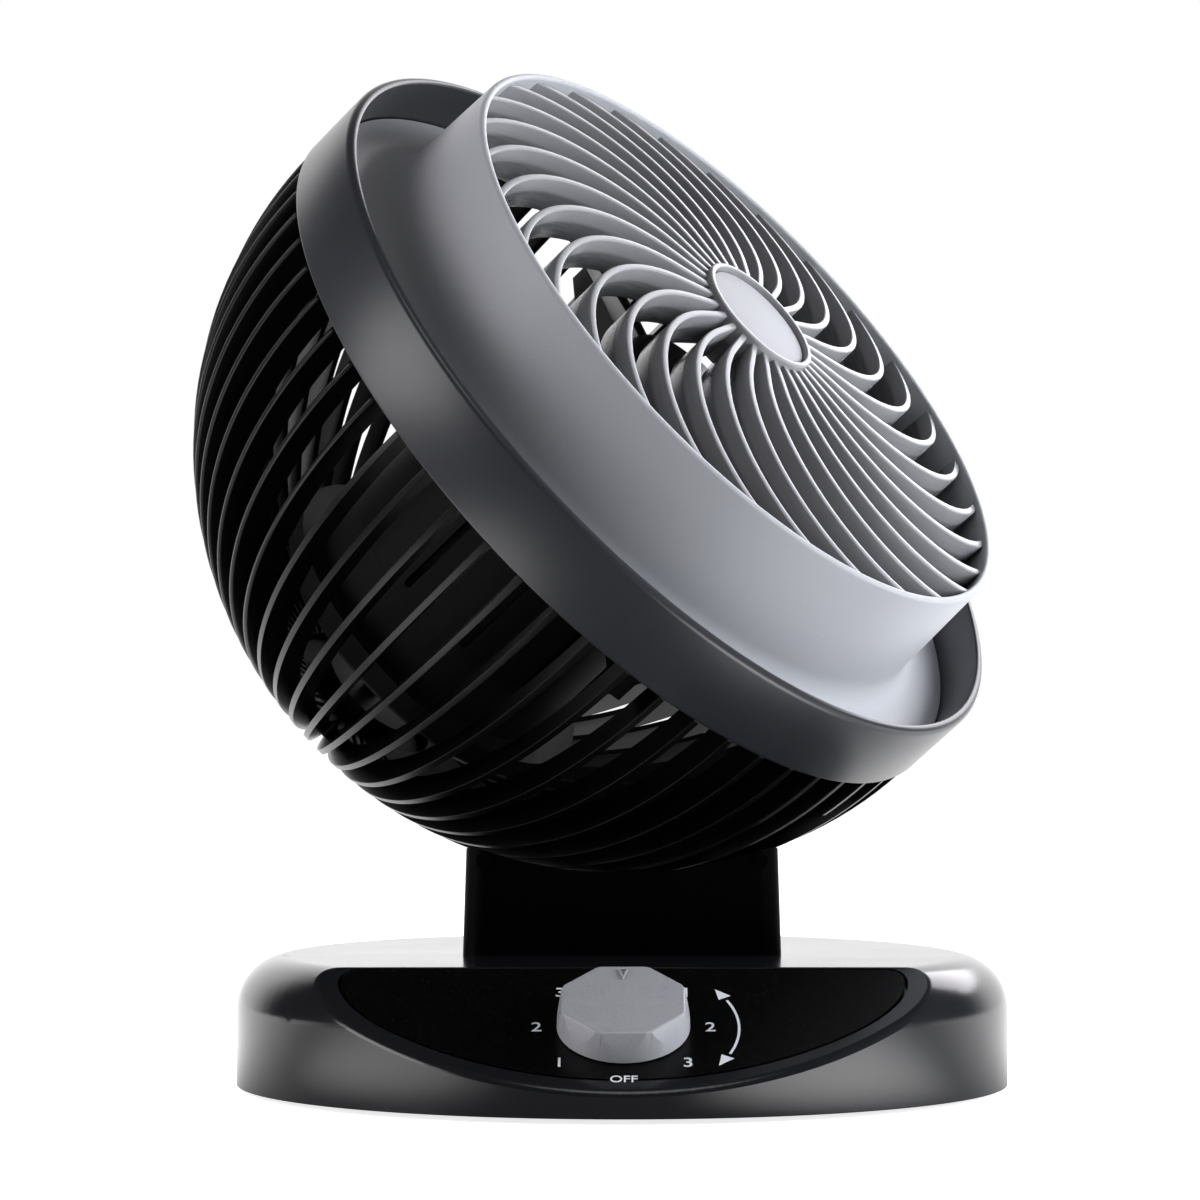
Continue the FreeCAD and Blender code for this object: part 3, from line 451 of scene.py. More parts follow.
def grille_grey_painted_shade(name):
    """Grey moulding, whose ribs are painted darker below their front edge as painted shade between
    the deep ribs, and glossier there.
    """
    made = Finish(name, HEAD)
    s = sizes()
    tone = colours().grille
    split = made.add("SeparateXYZ", {}, {0: made.coords})
    x, y, z = (made.value(split, axis) for axis in "XYZ")
    wall = s.rim_radius - s.shroud_wall
    front = (wall * wall - (x * x + y * y)) * (0.5 / s.dome_radius) + (s.rim_front - s.rib_recess)
    # Painted shade: the ribs' colour darkens from 3.8 to 5.6 mm below their front edge, where shade
    # falls between them.
    drawn = made.smooth(front - z, (0.0038, 0.0056), (0.0, 1.0))
    streaks = made.noise(90, 4, 0.6, (1, 1, 14))
    fine = made.noise(2400, 2)
    shade = made.blend(streaks, scaled(tone, 0.90), scaled(tone, 1.10))
    # The painted shade's tone, streaked.
    dark = made.blend(streaks, scaled(tone, 0.30), scaled(tone, 0.80))
    return made.surface(
        base_color=made.blend(drawn, shade, dark),
        roughness=fine * 0.05 + 0.22 - drawn * (streaks * 0.12),
        normal=made.bump(streaks * drawn + fine * 0.1, 0.25, 0.0004),
    )


def shroud_grey(name):
    """Grey moulding with a soft gloss, slight flow marks and a fine grain."""
    made = Finish(name, HEAD)
    tone = colours().shroud
    flow = made.noise(9, 3, 0.55, (1, 1, 2.2))
    fine = made.noise(2400, 2)
    shade = made.blend(flow, scaled(tone, 0.92), scaled(tone, 1.08))
    shade = made.blend(made.specks(700, 0.08, 0.2) * 0.25, shade, scaled(tone, 1.5))
    return made.surface(
        base_color=shade,
        roughness=flow * 0.08 + fine * 0.05 + 0.34,
        normal=made.bump(fine, 0.05, 0.0003),
        specular_ior_level=0.25,
    )


def panel_black(name):
    """Printed panel: near black, with a fine sparkle."""
    made = Finish(name, DIAL)
    tone = colours().panel
    sparkle = made.specks(1500, 0.10, 0.30)
    fine = made.noise(3200, 2)
    shade = made.blend(sparkle * 0.8, tone, (0.030, 0.031, 0.029))
    return made.surface(
        base_color=shade,
        roughness=fine * 0.10 + sparkle * 0.12 + 0.26,
        normal=made.bump(fine, 0.10, 0.0003),
        specular_ior_level=0.12,
    )


def knob_silver(name):
    """Silver paint with a fine metal flake."""
    made = Finish(name, DIAL)
    tone = colours().knob
    flake = made.noise(4200, 2, 0.7)
    cloud = made.noise(60, 3)
    shade = made.blend(flake, scaled(tone, 0.86), scaled(tone, 1.14))
    shade = made.blend(cloud * 0.4, shade, scaled(tone, 1.12))
    return made.surface(
        base_color=shade,
        metallic=flake * 0.04 + 0.02,
        roughness=flake * 0.10 + cloud * 0.06 + 0.20,
        specular_ior_level=0.45,
        normal=made.bump(flake, 0.04, 0.0002),
    )


def medallion_silver(name):
    """Satin silver disc with fine turning marks about its centre."""
    made = Finish(name, HEAD)
    tone = colours().medallion
    rings = made.add(
        "TexWave",
        {"wave_type": "RINGS", "rings_direction": "Z", "wave_profile": "SIN"},
        {
            "Vector": made.coords,
            "Scale": 700.0,
            "Distortion": 1.5,
            "Detail": 2.0,
            "Detail Scale": 2.0,
        },
    )
    ring = made.value(rings, "Fac")
    cloud = made.noise(120, 3)
    shade = made.blend(ring * 0.5 + cloud * 0.5, scaled(tone, 0.93), scaled(tone, 1.06))
    return made.surface(
        base_color=shade,
        roughness=ring * 0.05 + cloud * 0.08 + 0.56,
        specular_ior_level=0.05,
        normal=made.bump(ring, 0.03, 0.0002),
    )


def rubber_black(name):
    return moulded(name, colours().rubber, 0.72, 0.3, 1300, 0.25)


def steel_plain(name):
    """Bright steel with a fine drawn grain."""
    made = Finish(name)
    tone = colours().steel
    drawn = made.noise(900, 3, 0.6, (1, 1, 0.15))
    shade = made.blend(drawn, scaled(tone, 0.8), scaled(tone, 1.2))
    return made.surface(
        base_color=shade,
        metallic=1.0,
        roughness=drawn * 0.15 + 0.25,
        normal=made.bump(drawn, 0.05, 0.0002),
    )


def screw_black(name):
    """Blackened steel, worn a little brighter in spots."""
    made = Finish(name)
    wear = made.noise(700, 3)
    shade = made.blend(wear * 0.4, (0.02, 0.02, 0.021), (0.12, 0.12, 0.12))
    return made.surface(base_color=shade, metallic=0.8, roughness=wear * 0.2 + 0.32)


def winding_brass(name):
    """Copper wire wound round the stator's axis."""
    made = Finish(name, HEAD)
    tone = colours().brass
    turns = made.add(
        "TexWave",
        {"wave_type": "BANDS", "bands_direction": "Z"},
        {"Vector": made.coords, "Scale": 260.0, "Distortion": 0.4, "Detail": 1.0},
    )
    wire = made.value(turns, "Fac")
    shade = made.blend(wire, scaled(tone, 0.4), tone)
    return made.surface(
        base_color=shade,
        metallic=0.85,
        roughness=0.45 - wire * 0.15,
        normal=made.bump(wire, 0.5, 0.0005),
    )


def print_grey(name):
    """Screen print: a thin pale ink with a slightly broken surface."""
    made = Finish(name, DIAL)
    tone = colours().marks
    fine = made.noise(2600, 2)
    shade = made.blend(fine, scaled(tone, 0.85), scaled(tone, 1.1))
    return made.surface(base_color=shade, roughness=fine * 0.1 + 0.45)


# Modelling helpers
def everything(bm):
    return bm.verts[:] + bm.edges[:] + bm.faces[:]


def only(kind, items):
    """The items of one kind in a mixed list."""
    return [item for item in items if isinstance(item, kind)]


def lathe(outline, steps=LARGE_TURN):
    """A closed ring turned about Z from an outline of (radius, height) corners."""
    bm = bmesh.new()
    corners = [bm.verts.new((radius, 0, height)) for radius, height in outline]
    sides = [bm.edges.new((corners[i - 1], corners[i])) for i in range(len(corners))]
    bmesh.ops.spin(
        bm,
        geom=corners + sides,
        cent=(0, 0, 0),
        axis=(0, 0, 1),
        angle=2 * math.pi,
        steps=steps,
        use_merge=True,
    )
    bmesh.ops.remove_doubles(bm, verts=bm.verts, dist=MERGED)
    bmesh.ops.recalc_face_normals(bm, faces=bm.faces)
    return bm


def repeat_round(bm, count):
    """Copy a form so that it stands a number of times round Z."""
    bmesh.ops.spin(
        bm,
        geom=everything(bm),
        cent=(0, 0, 0),
        axis=(0, 0, 1),
        angle=2 * math.pi * (count - 1) / count,
        steps=count - 1,
        use_duplicate=True,
    )


def cut_off(bm, spot, outward, near=0.0):
    """Cut off what lies outward of a plane, and close the cut."""
    cut = bmesh.ops.bisect_plane(
        bm,
        geom=everything(bm),
        dist=near,
        plane_co=spot,
        plane_no=outward,
        clear_outer=True,
    )
    bmesh.ops.holes_fill(bm, edges=only(BMEdge, cut["geom_cut"]))


def bevel(bm, edges, offset, segments):
    bmesh.ops.bevel(
        bm,
        geom=edges,
        offset=offset,
        offset_type="OFFSET",
        affect="EDGES",
        segments=segments,
        profile=0.5,
        material=-1,
    )


def round_ring(bm, radius, height, offset, segments=3):
    """Round the circular edge at a radius and height of a turned form."""

    def on_ring(vert):
        away = math.hypot(vert.co.x, vert.co.y) - radius
        return abs(away) < TINY and abs(vert.co.z - height) < TINY

    edges = [edge for edge in bm.edges if all(on_ring(vert) for vert in edge.verts)]
    bevel(bm, edges, offset, segments)


def link(name, mesh):
    item = bpy.data.objects.new(name, mesh)
    bpy.context.scene.collection.objects.link(item)
    return item


def piece(name, bm, place, body, material, replaced=(), sharp=40):
    """Finish a mesh as a piece that moves with a body and stands for CAD nodes."""
    bmesh.ops.transform(bm, matrix=place, verts=bm.verts)
    mesh = bpy.data.meshes.new(name)
    bm.to_mesh(mesh)
    bm.free()
    mesh.shade_smooth()
    mesh.set_sharp_from_angle(angle=math.radians(sharp))
    mesh.materials.append(material)
    item = link(name, mesh)
    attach(item, body)
    if replaced:
        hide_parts(*replaced)
    return item


def dress(names, material, width=0.0, segments=2):
    """Give CAD nodes a finish, and round their edges where a width is given."""
    for name in names:
        item = NODES[name]
        for slot in item.material_slots:
            slot.material = material
        if not width:
            continue
        weld = item.modifiers.new("weld", "WELD")
        weld.merge_threshold = TINY / 2
        rounding = item.modifiers.new("rounded_edges", "BEVEL")
        rounding.width = width
        rounding.segments = segments
        rounding.limit_method = "ANGLE"
        rounding.angle_limit = math.radians(35)
        rounding.profile = 0.5
        rounding.material = -1
        item.modifiers.new("even_shading", "WEIGHTED_NORMAL")


# Pieces
class FAN_OT_base(bpy.types.Operator):
    """Finish the base, its plate, feet and the neck"""

    bl_idname = "fan.base"
    bl_label = "Base and neck"

    def execute(self, context):
        dress(["base_shell"], finish(body_black))
        dress(["neck_shell"], finish(neck_black_painted_shade), EDGE_NECK, 3)
        plain = ["base_plate", "cord_gland", "oscillation_drive"]
        dress(plain, finish(plate_black), EDGE_SMALL)
        dress(["base_feet"], finish(rubber_black), EDGE_SOFT)
        dress(["control_panel"], finish(panel_black), EDGE_PANEL)
        dress(["rotary_switch"], finish(motor_grey), EDGE_SMALL)
        dress(["swivel_bush"], finish(winding_brass), EDGE_SMALL)
        return {"FINISHED"}


class FAN_OT_knob(bpy.types.Operator):
    """Cut the speed knob from a cone, and finish its spindle"""

    bl_idname = "fan.knob"
    bl_label = "Speed knob"

    def execute(self, context):
        s = sizes()
        silver = finish(knob_silver)
        top = s.knob_lift + s.knob_height
        bm = bmesh.new()
        middle = Matrix.Translation((0, 0, s.knob_lift + s.knob_height / 2))
        bmesh.ops.create_cone(
            bm,
            cap_ends=True,
            segments=KNOB_STEPS,
            radius1=s.knob_radius,
            radius2=s.knob_neck,
            depth=s.knob_height,
            matrix=middle,
        )
        for side in range(KNOB_SIDES):
            self.cut_flat(bm, 2 * math.pi * side / KNOB_SIDES, s.knob_flat, top)
        bmesh.ops.recalc_face_normals(bm, faces=bm.faces)
        rim = [edge for edge in bm.edges if all(top - vert.co.z < TINY for vert in edge.verts)]
        bevel(bm, rim, s.knob_bevel, 8)
        piece("dial_knob", bm, DIAL, "knob", silver, ["speed_knob"], 13)
        place = DIAL @ Matrix.Translation((0, s.knob_flat - s.pointer_inset, top))
        piece("knob_pointer", self.pointer(), place, "knob", silver)
        dress(["switch_spindle"], finish(steel_plain), EDGE_SMALL)
        return {"FINISHED"}

    def cut_flat(self, bm, turn, away, top):
        """Cut one leaning flat, which runs out in a curve on the cone below."""
        across, along = math.cos(turn), math.sin(turn)
        flat = math.cos(KNOB_LEAN)
        outward = (across * flat, along * flat, math.sin(KNOB_LEAN))
        cut_off(bm, (away * across, away * along, top), outward, MERGED)

    def pointer(self):
        """A small raised outline of a triangle, with its tip towards the middle."""
        s = sizes()
        bm = bmesh.new()
        slim = Matrix.Diagonal((s.pointer_across, s.pointer_along, 1, 1))
        slim = slim @ Matrix.Rotation(math.pi, 4, "Z")
        bmesh.ops.create_circle(bm, cap_ends=True, segments=3, radius=1, matrix=slim)
        inner = bm.faces[:]
        bmesh.ops.inset_region(
            bm, faces=inner, thickness=s.pointer_line, use_boundary=True, use_even_offset=True
        )
        bmesh.ops.delete(bm, geom=inner, context="FACES")
        bmesh.ops.recalc_face_normals(bm, faces=bm.faces)
        bmesh.ops.solidify(bm, geom=bm.faces[:], thickness=s.pointer_thick)
        low = min(vert.co.z for vert in bm.verts)
        bmesh.ops.translate(bm, vec=(0, 0, -low - s.pointer_sunk), verts=bm.verts)
        return bm


class FAN_OT_swivel(bpy.types.Operator):
    """Finish the turntable and the tilt bracket"""

    bl_idname = "fan.swivel"
    bl_label = "Swivel and tilt bracket"

    def execute(self, context):
        black = finish(cage_black_painted_shade)
        dress(["turntable", "tilt_bracket", "tilt_clamp"], black, EDGE_SOFT)
        dress(["swivel_retainer"], finish(steel_plain), EDGE_FINE)
        return {"FINISHED"}


class FAN_OT_cage(bpy.types.Operator):
    """Finish the ribbed cage, its hub and the tilt track"""

    bl_idname = "fan.cage"
    bl_label = "Rear cage"

    def execute(self, context):
        black = finish(cage_black_painted_shade)
        ribs = ["cage_ribs_%d" % i for i in range(1, 7)]
        dress(ribs, black, sizes().cage_bevel)
        dress(["cage_hub", "tilt_track"], finish(inner_black_painted_shade), EDGE_SMALL)
        return {"FINISHED"}


class FAN_OT_band(bpy.types.Operator):
    """Turn the ring round the middle of the head"""

    bl_idname = "fan.band"
    bl_label = "Head band"

    def execute(self, context):
        s = sizes()
        outer = s.band_radius
        inner = outer - s.band_wall
        ledge = inner - s.ledge_width
        bm = lathe(
            [
                (ledge, 0),
                (outer, 0),
                (outer, s.band_length),
                (inner, s.band_length),
                (inner, s.ledge_thick),
                (ledge, s.ledge_thick),
            ]
        )
        round_ring(bm, outer, 0, s.band_back_round)
        round_ring(bm, outer, s.band_length, s.band_round, 5)
        round_ring(bm, inner, s.band_length, s.band_inner_round)
        round_ring(bm, ledge, 0, EDGE_SOFT, 2)
        black = finish(band_black_painted_sheen)
        piece("head_band", bm, HEAD, "head", black, ["cage_band"])
        return {"FINISHED"}


class FAN_OT_shroud(bpy.types.Operator):
    """Turn the front shroud with its flare and rounded rim"""

    bl_idname = "fan.shroud"
    bl_label = "Front shroud"

    def execute(self, context):
        s = sizes()
        low = s.ledge_thick
        floor = low + s.shroud_wall
        foot_in = s.shroud_foot - s.shroud_wall
        rim_in = s.rim_radius - s.shroud_wall
        bm = lathe(
            [
                (s.flange_radius, low),
                (s.flange_radius, floor),
                (s.shroud_foot, floor),
                (s.rim_radius, s.rim_front),
                (rim_in, s.rim_front),
                (foot_in, low),
            ]
        )
        round_ring(bm, s.shroud_foot, floor, s.shroud_flare, 10)
        round_ring(bm, foot_in, low, s.shroud_flare + s.shroud_wall, 10)
        round_ring(bm, s.rim_radius, s.rim_front, s.rim_round, 4)
        round_ring(bm, rim_in, s.rim_front, s.rim_inner_round)
        grey = finish(shroud_grey)
        piece("shroud", bm, HEAD, "head", grey, ["front_shroud"])
        return {"FINISHED"}


class FAN_OT_grille(bpy.types.Operator):
    """Curl one deep rib from the hub to the shroud and repeat it round the axis"""

    bl_idname = "fan.grille"
    bl_label = "Spiral grille"

    def execute(self, context):
        s = sizes()
        inside = s.hub_radius - s.hub_wall / 2
        wall = s.rim_radius - s.shroud_wall + s.rib_bite
        front = s.rim_front - s.rib_recess
        bm = bmesh.new()
        bmesh.ops.create_grid(bm, x_segments=1, y_segments=1, size=0.5)
        section = Matrix.Diagonal((s.rib_depth, s.rib_thick, 1, 1))
        upright = Matrix.Rotation(math.radians(90), 4, "Y")
        start = Matrix.Translation((inside, 0, front - s.rib_depth / 2))
        bmesh.ops.transform(bm, matrix=start @ upright @ section, verts=bm.verts)
        grown = bmesh.ops.extrude_face_region(bm, geom=bm.faces[:])["geom"]
        ends = only(BMVert, grown)
        bmesh.ops.translate(bm, vec=(s.spiral_start - inside, 0, 0), verts=ends)
        end_faces = only(BMFace, grown)
        loop = list(end_faces[0].edges) + list(end_faces[0].verts)
        bmesh.ops.delete(bm, geom=end_faces, context="FACES_ONLY")
        bmesh.ops.spin(
            bm,
            geom=loop,
            cent=(s.spiral_start, s.spiral_radius, 0),
            axis=(0, 0, 1),
            angle=RIB_CURL,
            steps=RIB_STEPS,
            use_merge=False,
        )
        self.cut_at_wall(bm, wall)
        bmesh.ops.subdivide_edges(bm, edges=self.straight_edges(bm, s.spiral_start), cuts=5)
        bmesh.ops.remove_doubles(bm, verts=bm.verts, dist=MERGED)
        bmesh.ops.recalc_face_normals(bm, faces=bm.faces)
        self.round_edges(bm, front, s.rib_round, 3)
        self.round_edges(bm, front - s.rib_depth, s.rib_back_round, 2)
        dome = s.dome_radius
        rise = math.sqrt(dome * dome - wall * wall)
        for vert in bm.verts:
            away = math.hypot(vert.co.x, vert.co.y)
            vert.co.z += math.sqrt(dome * dome - away * away) - rise
        repeat_round(bm, RIB_COUNT)
        grey = finish(grille_grey_painted_shade)
        piece("spiral_ribs", bm, HEAD, "head", grey, ["grille_ribs"])
        return {"FINISHED"}

    def cut_at_wall(self, bm, wall):
        """End the rib square to the shroud, just inside its wall."""
        s = sizes()
        turn = 0.0
        reach = 0.0
        while reach < wall:
            turn += 0.001
            x = s.spiral_start + s.spiral_radius * math.sin(turn)
            y = s.spiral_radius * (1 - math.cos(turn))
            reach = math.hypot(x, y)
        outward = Vector((x, y, 0)).normalized()
        cut_off(bm, outward * wall, outward)

    def straight_edges(self, bm, start):
        """The long edges of the straight part."""

        def is_long(edge):
            ends = [vert.co for vert in edge.verts]
            flat = abs(ends[0].y - ends[1].y) < TINY and abs(ends[0].z - ends[1].z) < TINY
            return flat and max(end.x for end in ends) < start + TINY

        return [edge for edge in bm.edges if is_long(edge)]

    def round_edges(self, bm, height, offset, segments):
        """Round the rib's sharp edges that lie at one height."""
        edges = [
            edge
            for edge in bm.edges
            if all(abs(vert.co.z - height) < TINY for vert in edge.verts)
            and len(edge.link_faces) == 2
            and edge.calc_face_angle(0) > 1
        ]
        bevel(bm, edges, offset, segments)


class FAN_OT_hub(bpy.types.Operator):
    """Turn the grille's hub and the bare disc set in it"""

    bl_idname = "fan.hub"
    bl_label = "Grille hub"

    def execute(self, context):
        s = sizes()
        inner = s.hub_radius - s.hub_wall
        face = s.hub_front - s.medallion_drop
        seat = face - s.medallion_thick
        back = seat - s.medallion_thick
        bm = lathe(
            [
                (s.hub_radius, s.hub_back),
                (s.hub_radius, s.hub_front),
                (inner, s.hub_front),
                (inner, seat),
                (0, seat),
                (0, back),
                (inner, back),
                (inner, s.hub_back),
            ],
            SMALL_TURN,
        )
        round_ring(bm, s.hub_radius, s.hub_front, s.hub_round)
        round_ring(bm, inner, s.hub_front, s.hub_inner_round)
        grey = finish(grille_grey_painted_shade)
        piece("hub_cup", bm, HEAD, "head", grey, ["grille_hub"])
        edge = inner - s.medallion_gap
        disc = lathe([(edge, seat), (edge, face), (0, face), (0, seat)], SMALL_TURN)
        round_ring(disc, edge, face, s.hub_inner_round)
        silver = finish(medallion_silver)
        piece("hub_disc", disc, HEAD, "head", silver, ["grille_medallion"])
        return {"FINISHED"}


class FAN_OT_motor(bpy.types.Operator):
    """Finish the motor and its spider"""

    bl_idname = "fan.motor"
    bl_label = "Motor"

    def execute(self, context):
        grey = finish(motor_grey)
        dress(["motor_case", "motor_spider", "motor_tie", "motor_stator"], grey, EDGE_SOFT)
        dress(["motor_cap"], finish(cap_grey_painted_light), EDGE_SOFT)
        bright = ["rear_bearing", "front_bearing", "motor_shaft", "motor_rotor", "wheel_nut"]
        dress(bright, finish(steel_plain), EDGE_FINE)
        return {"FINISHED"}


class FAN_OT_wheel(bpy.types.Operator):
    """Twist four blades round a rounded boss"""

    bl_idname = "fan.wheel"
    bl_label = "Fan wheel"

    def execute(self, context):
        s = sizes()
        bm = self.blade()
        repeat_round(bm, BLADE_COUNT)
        black = finish(wheel_black)
        piece("wheel_blades", bm, HEAD, "wheel", black, ["fan_wheel"], 50)
        boss = lathe(
            [
                (s.shaft_radius, s.boss_back),
                (s.boss_radius, s.boss_back),
                (s.boss_radius, s.boss_front),
                (s.shaft_radius, s.boss_front),
            ],
            SMALL_TURN,
        )
        round_ring(boss, s.boss_radius, s.boss_front, s.boss_round, 6)
        round_ring(boss, s.boss_radius, s.boss_back, s.boss_back_round, 2)
        piece("wheel_boss", boss, HEAD, "wheel", black)
        return {"FINISHED"}

    def blade(self):
        """One blade, twisted less towards its tip, with rounded tip corners."""
        s = sizes()
        bm = bmesh.new()
        bmesh.ops.create_grid(bm, x_segments=20, y_segments=14, size=0.5)
        for vert in bm.verts:
            out = vert.co.x + 0.5
            side = vert.co.y * 2
            radius = s.blade_root + (s.blade_radius - s.blade_root) * out
            pitch = math.radians(40 - 32 * out + 10 * out * out)
            width = s.blade_chord * self.width_share(out)
            along = side * width / 2
            turn = along * math.cos(pitch) / max(radius, width * 0.45) + BLADE_SWEEP * out
            bulge = s.blade_camber * (1 - side * side)
            height = s.blade_middle + along * math.sin(pitch) + bulge - s.blade_camber / 2
            vert.co = (radius * math.cos(turn), radius * math.sin(turn), height)
        bmesh.ops.recalc_face_normals(bm, faces=bm.faces)
        bmesh.ops.solidify(bm, geom=bm.faces[:], thickness=s.blade_thick)
        rim = [edge for edge in bm.edges if edge.calc_face_angle(0) > 1]
        bevel(bm, rim, s.blade_round, 2)
        rest = Matrix.Rotation(BLADE_REST, 3, "Z")
        bmesh.ops.rotate(bm, cent=(0, 0, 0), matrix=rest, verts=bm.verts)
        return bm

    def width_share(self, out):
        """A blade's width at a share of its length: it widens, then rounds off to the tip."""
        grown = math.sin(math.pi / 2 * min(1, out / BLADE_FULL_WIDTH_AT))
        share = BLADE_ROOT_WIDTH + (1 - BLADE_ROOT_WIDTH) * grown
        if out > BLADE_TIP_FROM:
            past = (out - BLADE_TIP_FROM) / (1 - BLADE_TIP_FROM)
            share *= math.sqrt(1 - BLADE_TIP_CUT * past**2)
        return share


class FAN_OT_screws(bpy.types.Operator):
    """Finish the screw heads"""

    bl_idname = "fan.screws"
    bl_label = "Screws"

    def execute(self, context):
        dark = finish(screw_black)
        dress(["base_screws", "shroud_screws", "clamp_screws"], dark, EDGE_SMALL)
        dress(["neck_screws"], finish(neck_black_painted_shade), EDGE_SMALL)
        return {"FINISHED"}


class FAN_OT_marks(bpy.types.Operator):
    """Print the numerals round the dial and the plain sweep arrow beside it"""

    bl_idname = "fan.marks"
    bl_label = "Dial marks"

    def execute(self, context):
        s = sizes()
        for index, (text, angle) in enumerate(MARKS, start=1):
            turn = math.radians(angle)
            away = s.mark_ring * (LEVEL_MARK if text == "2" else 1)
            where = (away * math.cos(turn), away * math.sin(turn))
            self.letters("mark_%d" % index, text, where, s.mark_height)
        self.letters("mark_off", "OFF", (0, -s.mark_off), s.mark_height * OFF_SHARE)
        self.arrow()
        return {"FINISHED"}

    def letters(self, name, text, where, height):
        """Thin letters, centred at a place on the panel."""
        s = sizes()
        curve = bpy.data.curves.new(name, "FONT")
        curve.body = text
        curve.size = height * LETTER_SIZE
        curve.align_x = "CENTER"
        curve.align_y = "CENTER"
        curve.extrude = s.mark_thick
        curve.offset = s.mark_swell
        source = link(name + "_text", curve)
        mesh = bpy.data.meshes.new_from_object(source)
        bpy.data.objects.remove(source)
        bm = bmesh.new()
        bm.from_mesh(mesh)
        bpy.data.meshes.remove(mesh)
        wide = Matrix.Diagonal((LETTER_WIDTH, 1, 1, 1))
        place = DIAL @ Matrix.Translation((where[0], where[1], s.mark_lift)) @ wide
        piece(name, bm, place, "stand", finish(print_grey))

    def arrow(self):
        """A thin arc about the dial with a triangle at each end."""
        s = sizes()
        radius = s.arrow_ring
        bm = bmesh.new()
        bmesh.ops.create_grid(bm, x_segments=1, y_segments=1, size=0.5)
        stub = Matrix.Diagonal((s.arrow_line, s.arrow_stub, 1, 1))
        bmesh.ops.transform(bm, matrix=stub, verts=bm.verts)
        begin = Matrix.Rotation(ARROW_START, 4, "Z") @ Matrix.Translation((radius, 0, 0))
        bmesh.ops.transform(bm, matrix=begin, verts=bm.verts)
        ends = [edge for edge in bm.edges if abs(edge.calc_length() - s.arrow_line) < TINY]
        last = max(ends, key=lambda edge: sum(vert.co.y for vert in edge.verts))
        bmesh.ops.spin(
            bm,
            geom=[last] + list(last.verts),
            cent=(0, 0, 0),
            axis=(0, 0, 1),
            angle=ARROW_SWEEP,
            steps=ARROW_STEPS,
            use_merge=False,
        )
        for angle, reverse in ARROW_HEADS:
            made = bmesh.ops.create_circle(bm, cap_ends=True, segments=3, radius=s.arrow_head)
            turn = math.radians(angle)
            spot = Matrix.Translation((radius * math.cos(turn), radius * math.sin(turn), 0))
            aim = Matrix.Rotation(turn + reverse, 4, "Z")
            slim = Matrix.Diagonal((1.05, 1.6, 1, 1))
            bmesh.ops.transform(bm, matrix=spot @ aim @ slim, verts=made["verts"])
        bmesh.ops.remove_doubles(bm, verts=bm.verts, dist=MERGED)
        bmesh.ops.recalc_face_normals(bm, faces=bm.faces)
        grown = bmesh.ops.extrude_face_region(bm, geom=bm.faces[:])["geom"]
        bmesh.ops.translate(bm, vec=(0, 0, s.arrow_thick), verts=only(BMVert, grown))
        bmesh.ops.recalc_face_normals(bm, faces=bm.faces)
        place = DIAL @ Matrix.Translation((0, 0, s.arrow_lift))
        piece("sweep_arrow", bm, place, "stand", finish(print_grey))


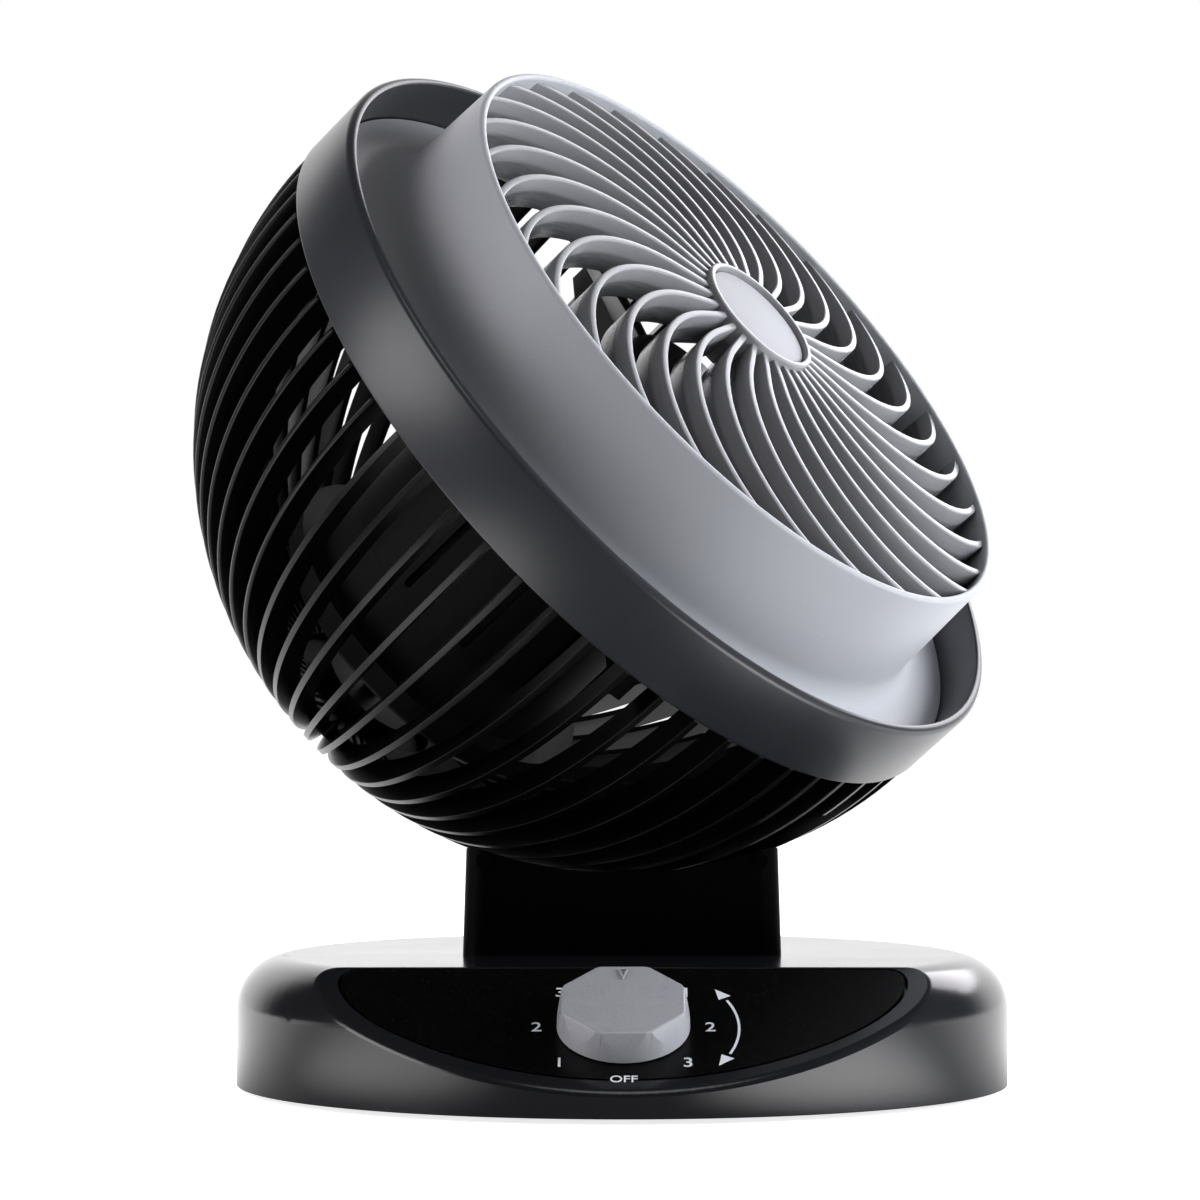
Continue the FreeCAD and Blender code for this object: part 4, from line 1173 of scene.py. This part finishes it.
class FAN_OT_stage(bpy.types.Operator):
    """Set the floor, the world, the lamps and the camera"""

    bl_idname = "fan.stage"
    bl_label = "Stage"

    def execute(self, context):
        scene = context.scene
        scene.view_settings.view_transform = "Standard"
        self.floor()
        self.world(scene)
        for lamp in LAMPS:
            self.lamp(*lamp)
        camera = bpy.data.cameras.new("camera")
        camera.sensor_width = CAMERA_SENSOR
        camera.lens = CAMERA_LENS
        camera.clip_end = 50
        holder = bpy.data.objects.new("camera", camera)
        holder.location = CAMERA_PLACE
        holder.rotation_euler = (CAMERA_PITCH, 0, 0)
        scene.collection.objects.link(holder)
        scene.camera = holder
        return {"FINISHED"}

    def floor(self):
        """A white floor, whose glow glossy surfaces see darker in front and with two painted pools
        of light.
        """
        bm = bmesh.new()
        bmesh.ops.create_grid(bm, x_segments=1, y_segments=1, size=12)
        mesh = bpy.data.meshes.new("floor")
        bm.to_mesh(mesh)
        bm.free()
        made = Finish("floor_white")
        rays = made.add("LightPath")
        mirrored = made.value(rays, "Is Glossy Ray")
        through = made.value(rays, "Is Transmission Ray")
        split = made.add("SeparateXYZ", {}, {0: made.coords})
        across = made.value(split, "X")
        along = made.value(split, "Y")
        # Painted reflections: a glow that only glossy rays see, brighter behind and in two pools.
        behind = made.smooth(along, (-0.12, 0.17), (0.16, 1.5))
        left = self.pool(made, across + 0.25, along + 0.165, 3.2, 0.028)
        right = self.pool(made, across - 0.215, along + 0.195, 6.2, 0.034)
        strength = made.value(rays, "Is Camera Ray") * 0.80 + through
        strength = strength + mirrored * (behind + (left + right))
        cloud = made.noise(3, 2)
        shade = made.blend(cloud, (0.80, 0.80, 0.80), (0.82, 0.82, 0.82))
        shade = made.blend(mirrored, shade, (0, 0, 0))
        glow = made.blend(strength * 0.1, (0, 0, 0), (1, 1, 1))
        made.surface(base_color=shade, roughness=0.9, emission_color=glow, emission_strength=10.0)
        mesh.materials.append(made.material)
        link("floor", mesh)

    def pool(self, made, across, along, level, spread):
        """A soft painted pool of light in the floor's glow, from the way to its middle."""
        return made.smooth(across * across + along * along, (0.0, spread), (level, 0.0))

    def world(self, scene):
        """A white surround, which glossy surfaces see dark but for three bright parts."""
        world = bpy.data.worlds.new("studio")
        scene.world = world
        made = NodeTree(world)
        rays = made.add("LightPath")
        seen = made.value(rays, "Is Camera Ray") + made.value(rays, "Is Transmission Ray")
        mirrored = made.value(rays, "Is Glossy Ray")
        split = made.add("SeparateXYZ", {}, {0: made.value(made.add("TexCoord"), "Generated")})
        back = made.smooth(made.value(split, "Y"), (0.58, 0.84), (0.0, 1.35))
        low = made.smooth(made.value(split, "Z"), (0.40, 0.72), (1.0, 0.05))
        side = self.softbox(made, (-0.924, -0.355, 0.139), 0.912, 4.4)
        above = self.softbox(made, (0.046, -0.528, 0.848), 0.930, 1.8)
        level = seen + mirrored * (back * low + side + above + 0.04)
        level = level + (1 - seen - mirrored) * 0.24
        shine = made.add("Background", {}, {"Color": (1, 1, 1, 1), "Strength": level})
        output = made.add("OutputWorld")
        made.tree.links.new(shine.outputs[0], output.inputs["Surface"])

    def softbox(self, made, toward, edge, level):
        """A soft round patch of sky, which only glossy surfaces show."""
        way = made.value(made.add("TexCoord"), "Generated")
        near = made.add("VectorMath", {"operation": "DOT_PRODUCT"}, {0: way, 1: toward})
        return made.smooth(made.value(near, "Value"), (edge, 0.990), (0.0, level))

    def lamp(self, name, where, target, extent, power, tint, mirrored):
        light = bpy.data.lights.new(name, "AREA")
        light.shape = "RECTANGLE"
        light.size = extent[0]
        light.size_y = extent[1]
        light.energy = power
        light.color = tint
        holder = bpy.data.objects.new(name, light)
        holder.location = where
        holder.visible_glossy = mirrored
        aim = Vector(target) - Vector(where)
        holder.rotation_euler = aim.to_track_quat("-Z", "Y").to_euler()
        bpy.context.scene.collection.objects.link(holder)


OPERATORS = (
    FAN_OT_base,
    FAN_OT_knob,
    FAN_OT_swivel,
    FAN_OT_cage,
    FAN_OT_band,
    FAN_OT_shroud,
    FAN_OT_grille,
    FAN_OT_hub,
    FAN_OT_motor,
    FAN_OT_wheel,
    FAN_OT_screws,
    FAN_OT_marks,
    FAN_OT_stage,
)


class FAN_PT_panel(bpy.types.Panel):
    """Lists the fan's pieces, sizes and colours"""

    bl_idname = "FAN_PT_panel"
    bl_label = "Table fan"
    bl_space_type = "VIEW_3D"
    bl_region_type = "UI"
    bl_category = "Fan"

    def draw(self, context):
        layout = self.layout
        for operator in OPERATORS:
            layout.operator(operator.bl_idname)
        for group in (context.scene.fan_sizes, context.scene.fan_colours):
            box = layout.box()
            for name in group.__annotations__:
                box.prop(group, name)


CLASSES = (FanSizes, FanColours) + OPERATORS + (FAN_PT_panel,)


def register():
    for item in CLASSES:
        bpy.utils.register_class(item)
    bpy.types.Scene.fan_sizes = bpy.props.PointerProperty(type=FanSizes)
    bpy.types.Scene.fan_colours = bpy.props.PointerProperty(type=FanColours)


def unregister():
    del bpy.types.Scene.fan_colours
    del bpy.types.Scene.fan_sizes
    for item in reversed(CLASSES):
        bpy.utils.unregister_class(item)


def main():
    register()
    bpy.ops.fan.base()
    bpy.ops.fan.knob()
    bpy.ops.fan.swivel()
    bpy.ops.fan.cage()
    bpy.ops.fan.band()
    bpy.ops.fan.shroud()
    bpy.ops.fan.grille()
    bpy.ops.fan.hub()
    bpy.ops.fan.motor()
    bpy.ops.fan.wheel()
    bpy.ops.fan.screws()
    bpy.ops.fan.marks()
    bpy.ops.fan.stage()


if __name__ == "__main__":
    main()
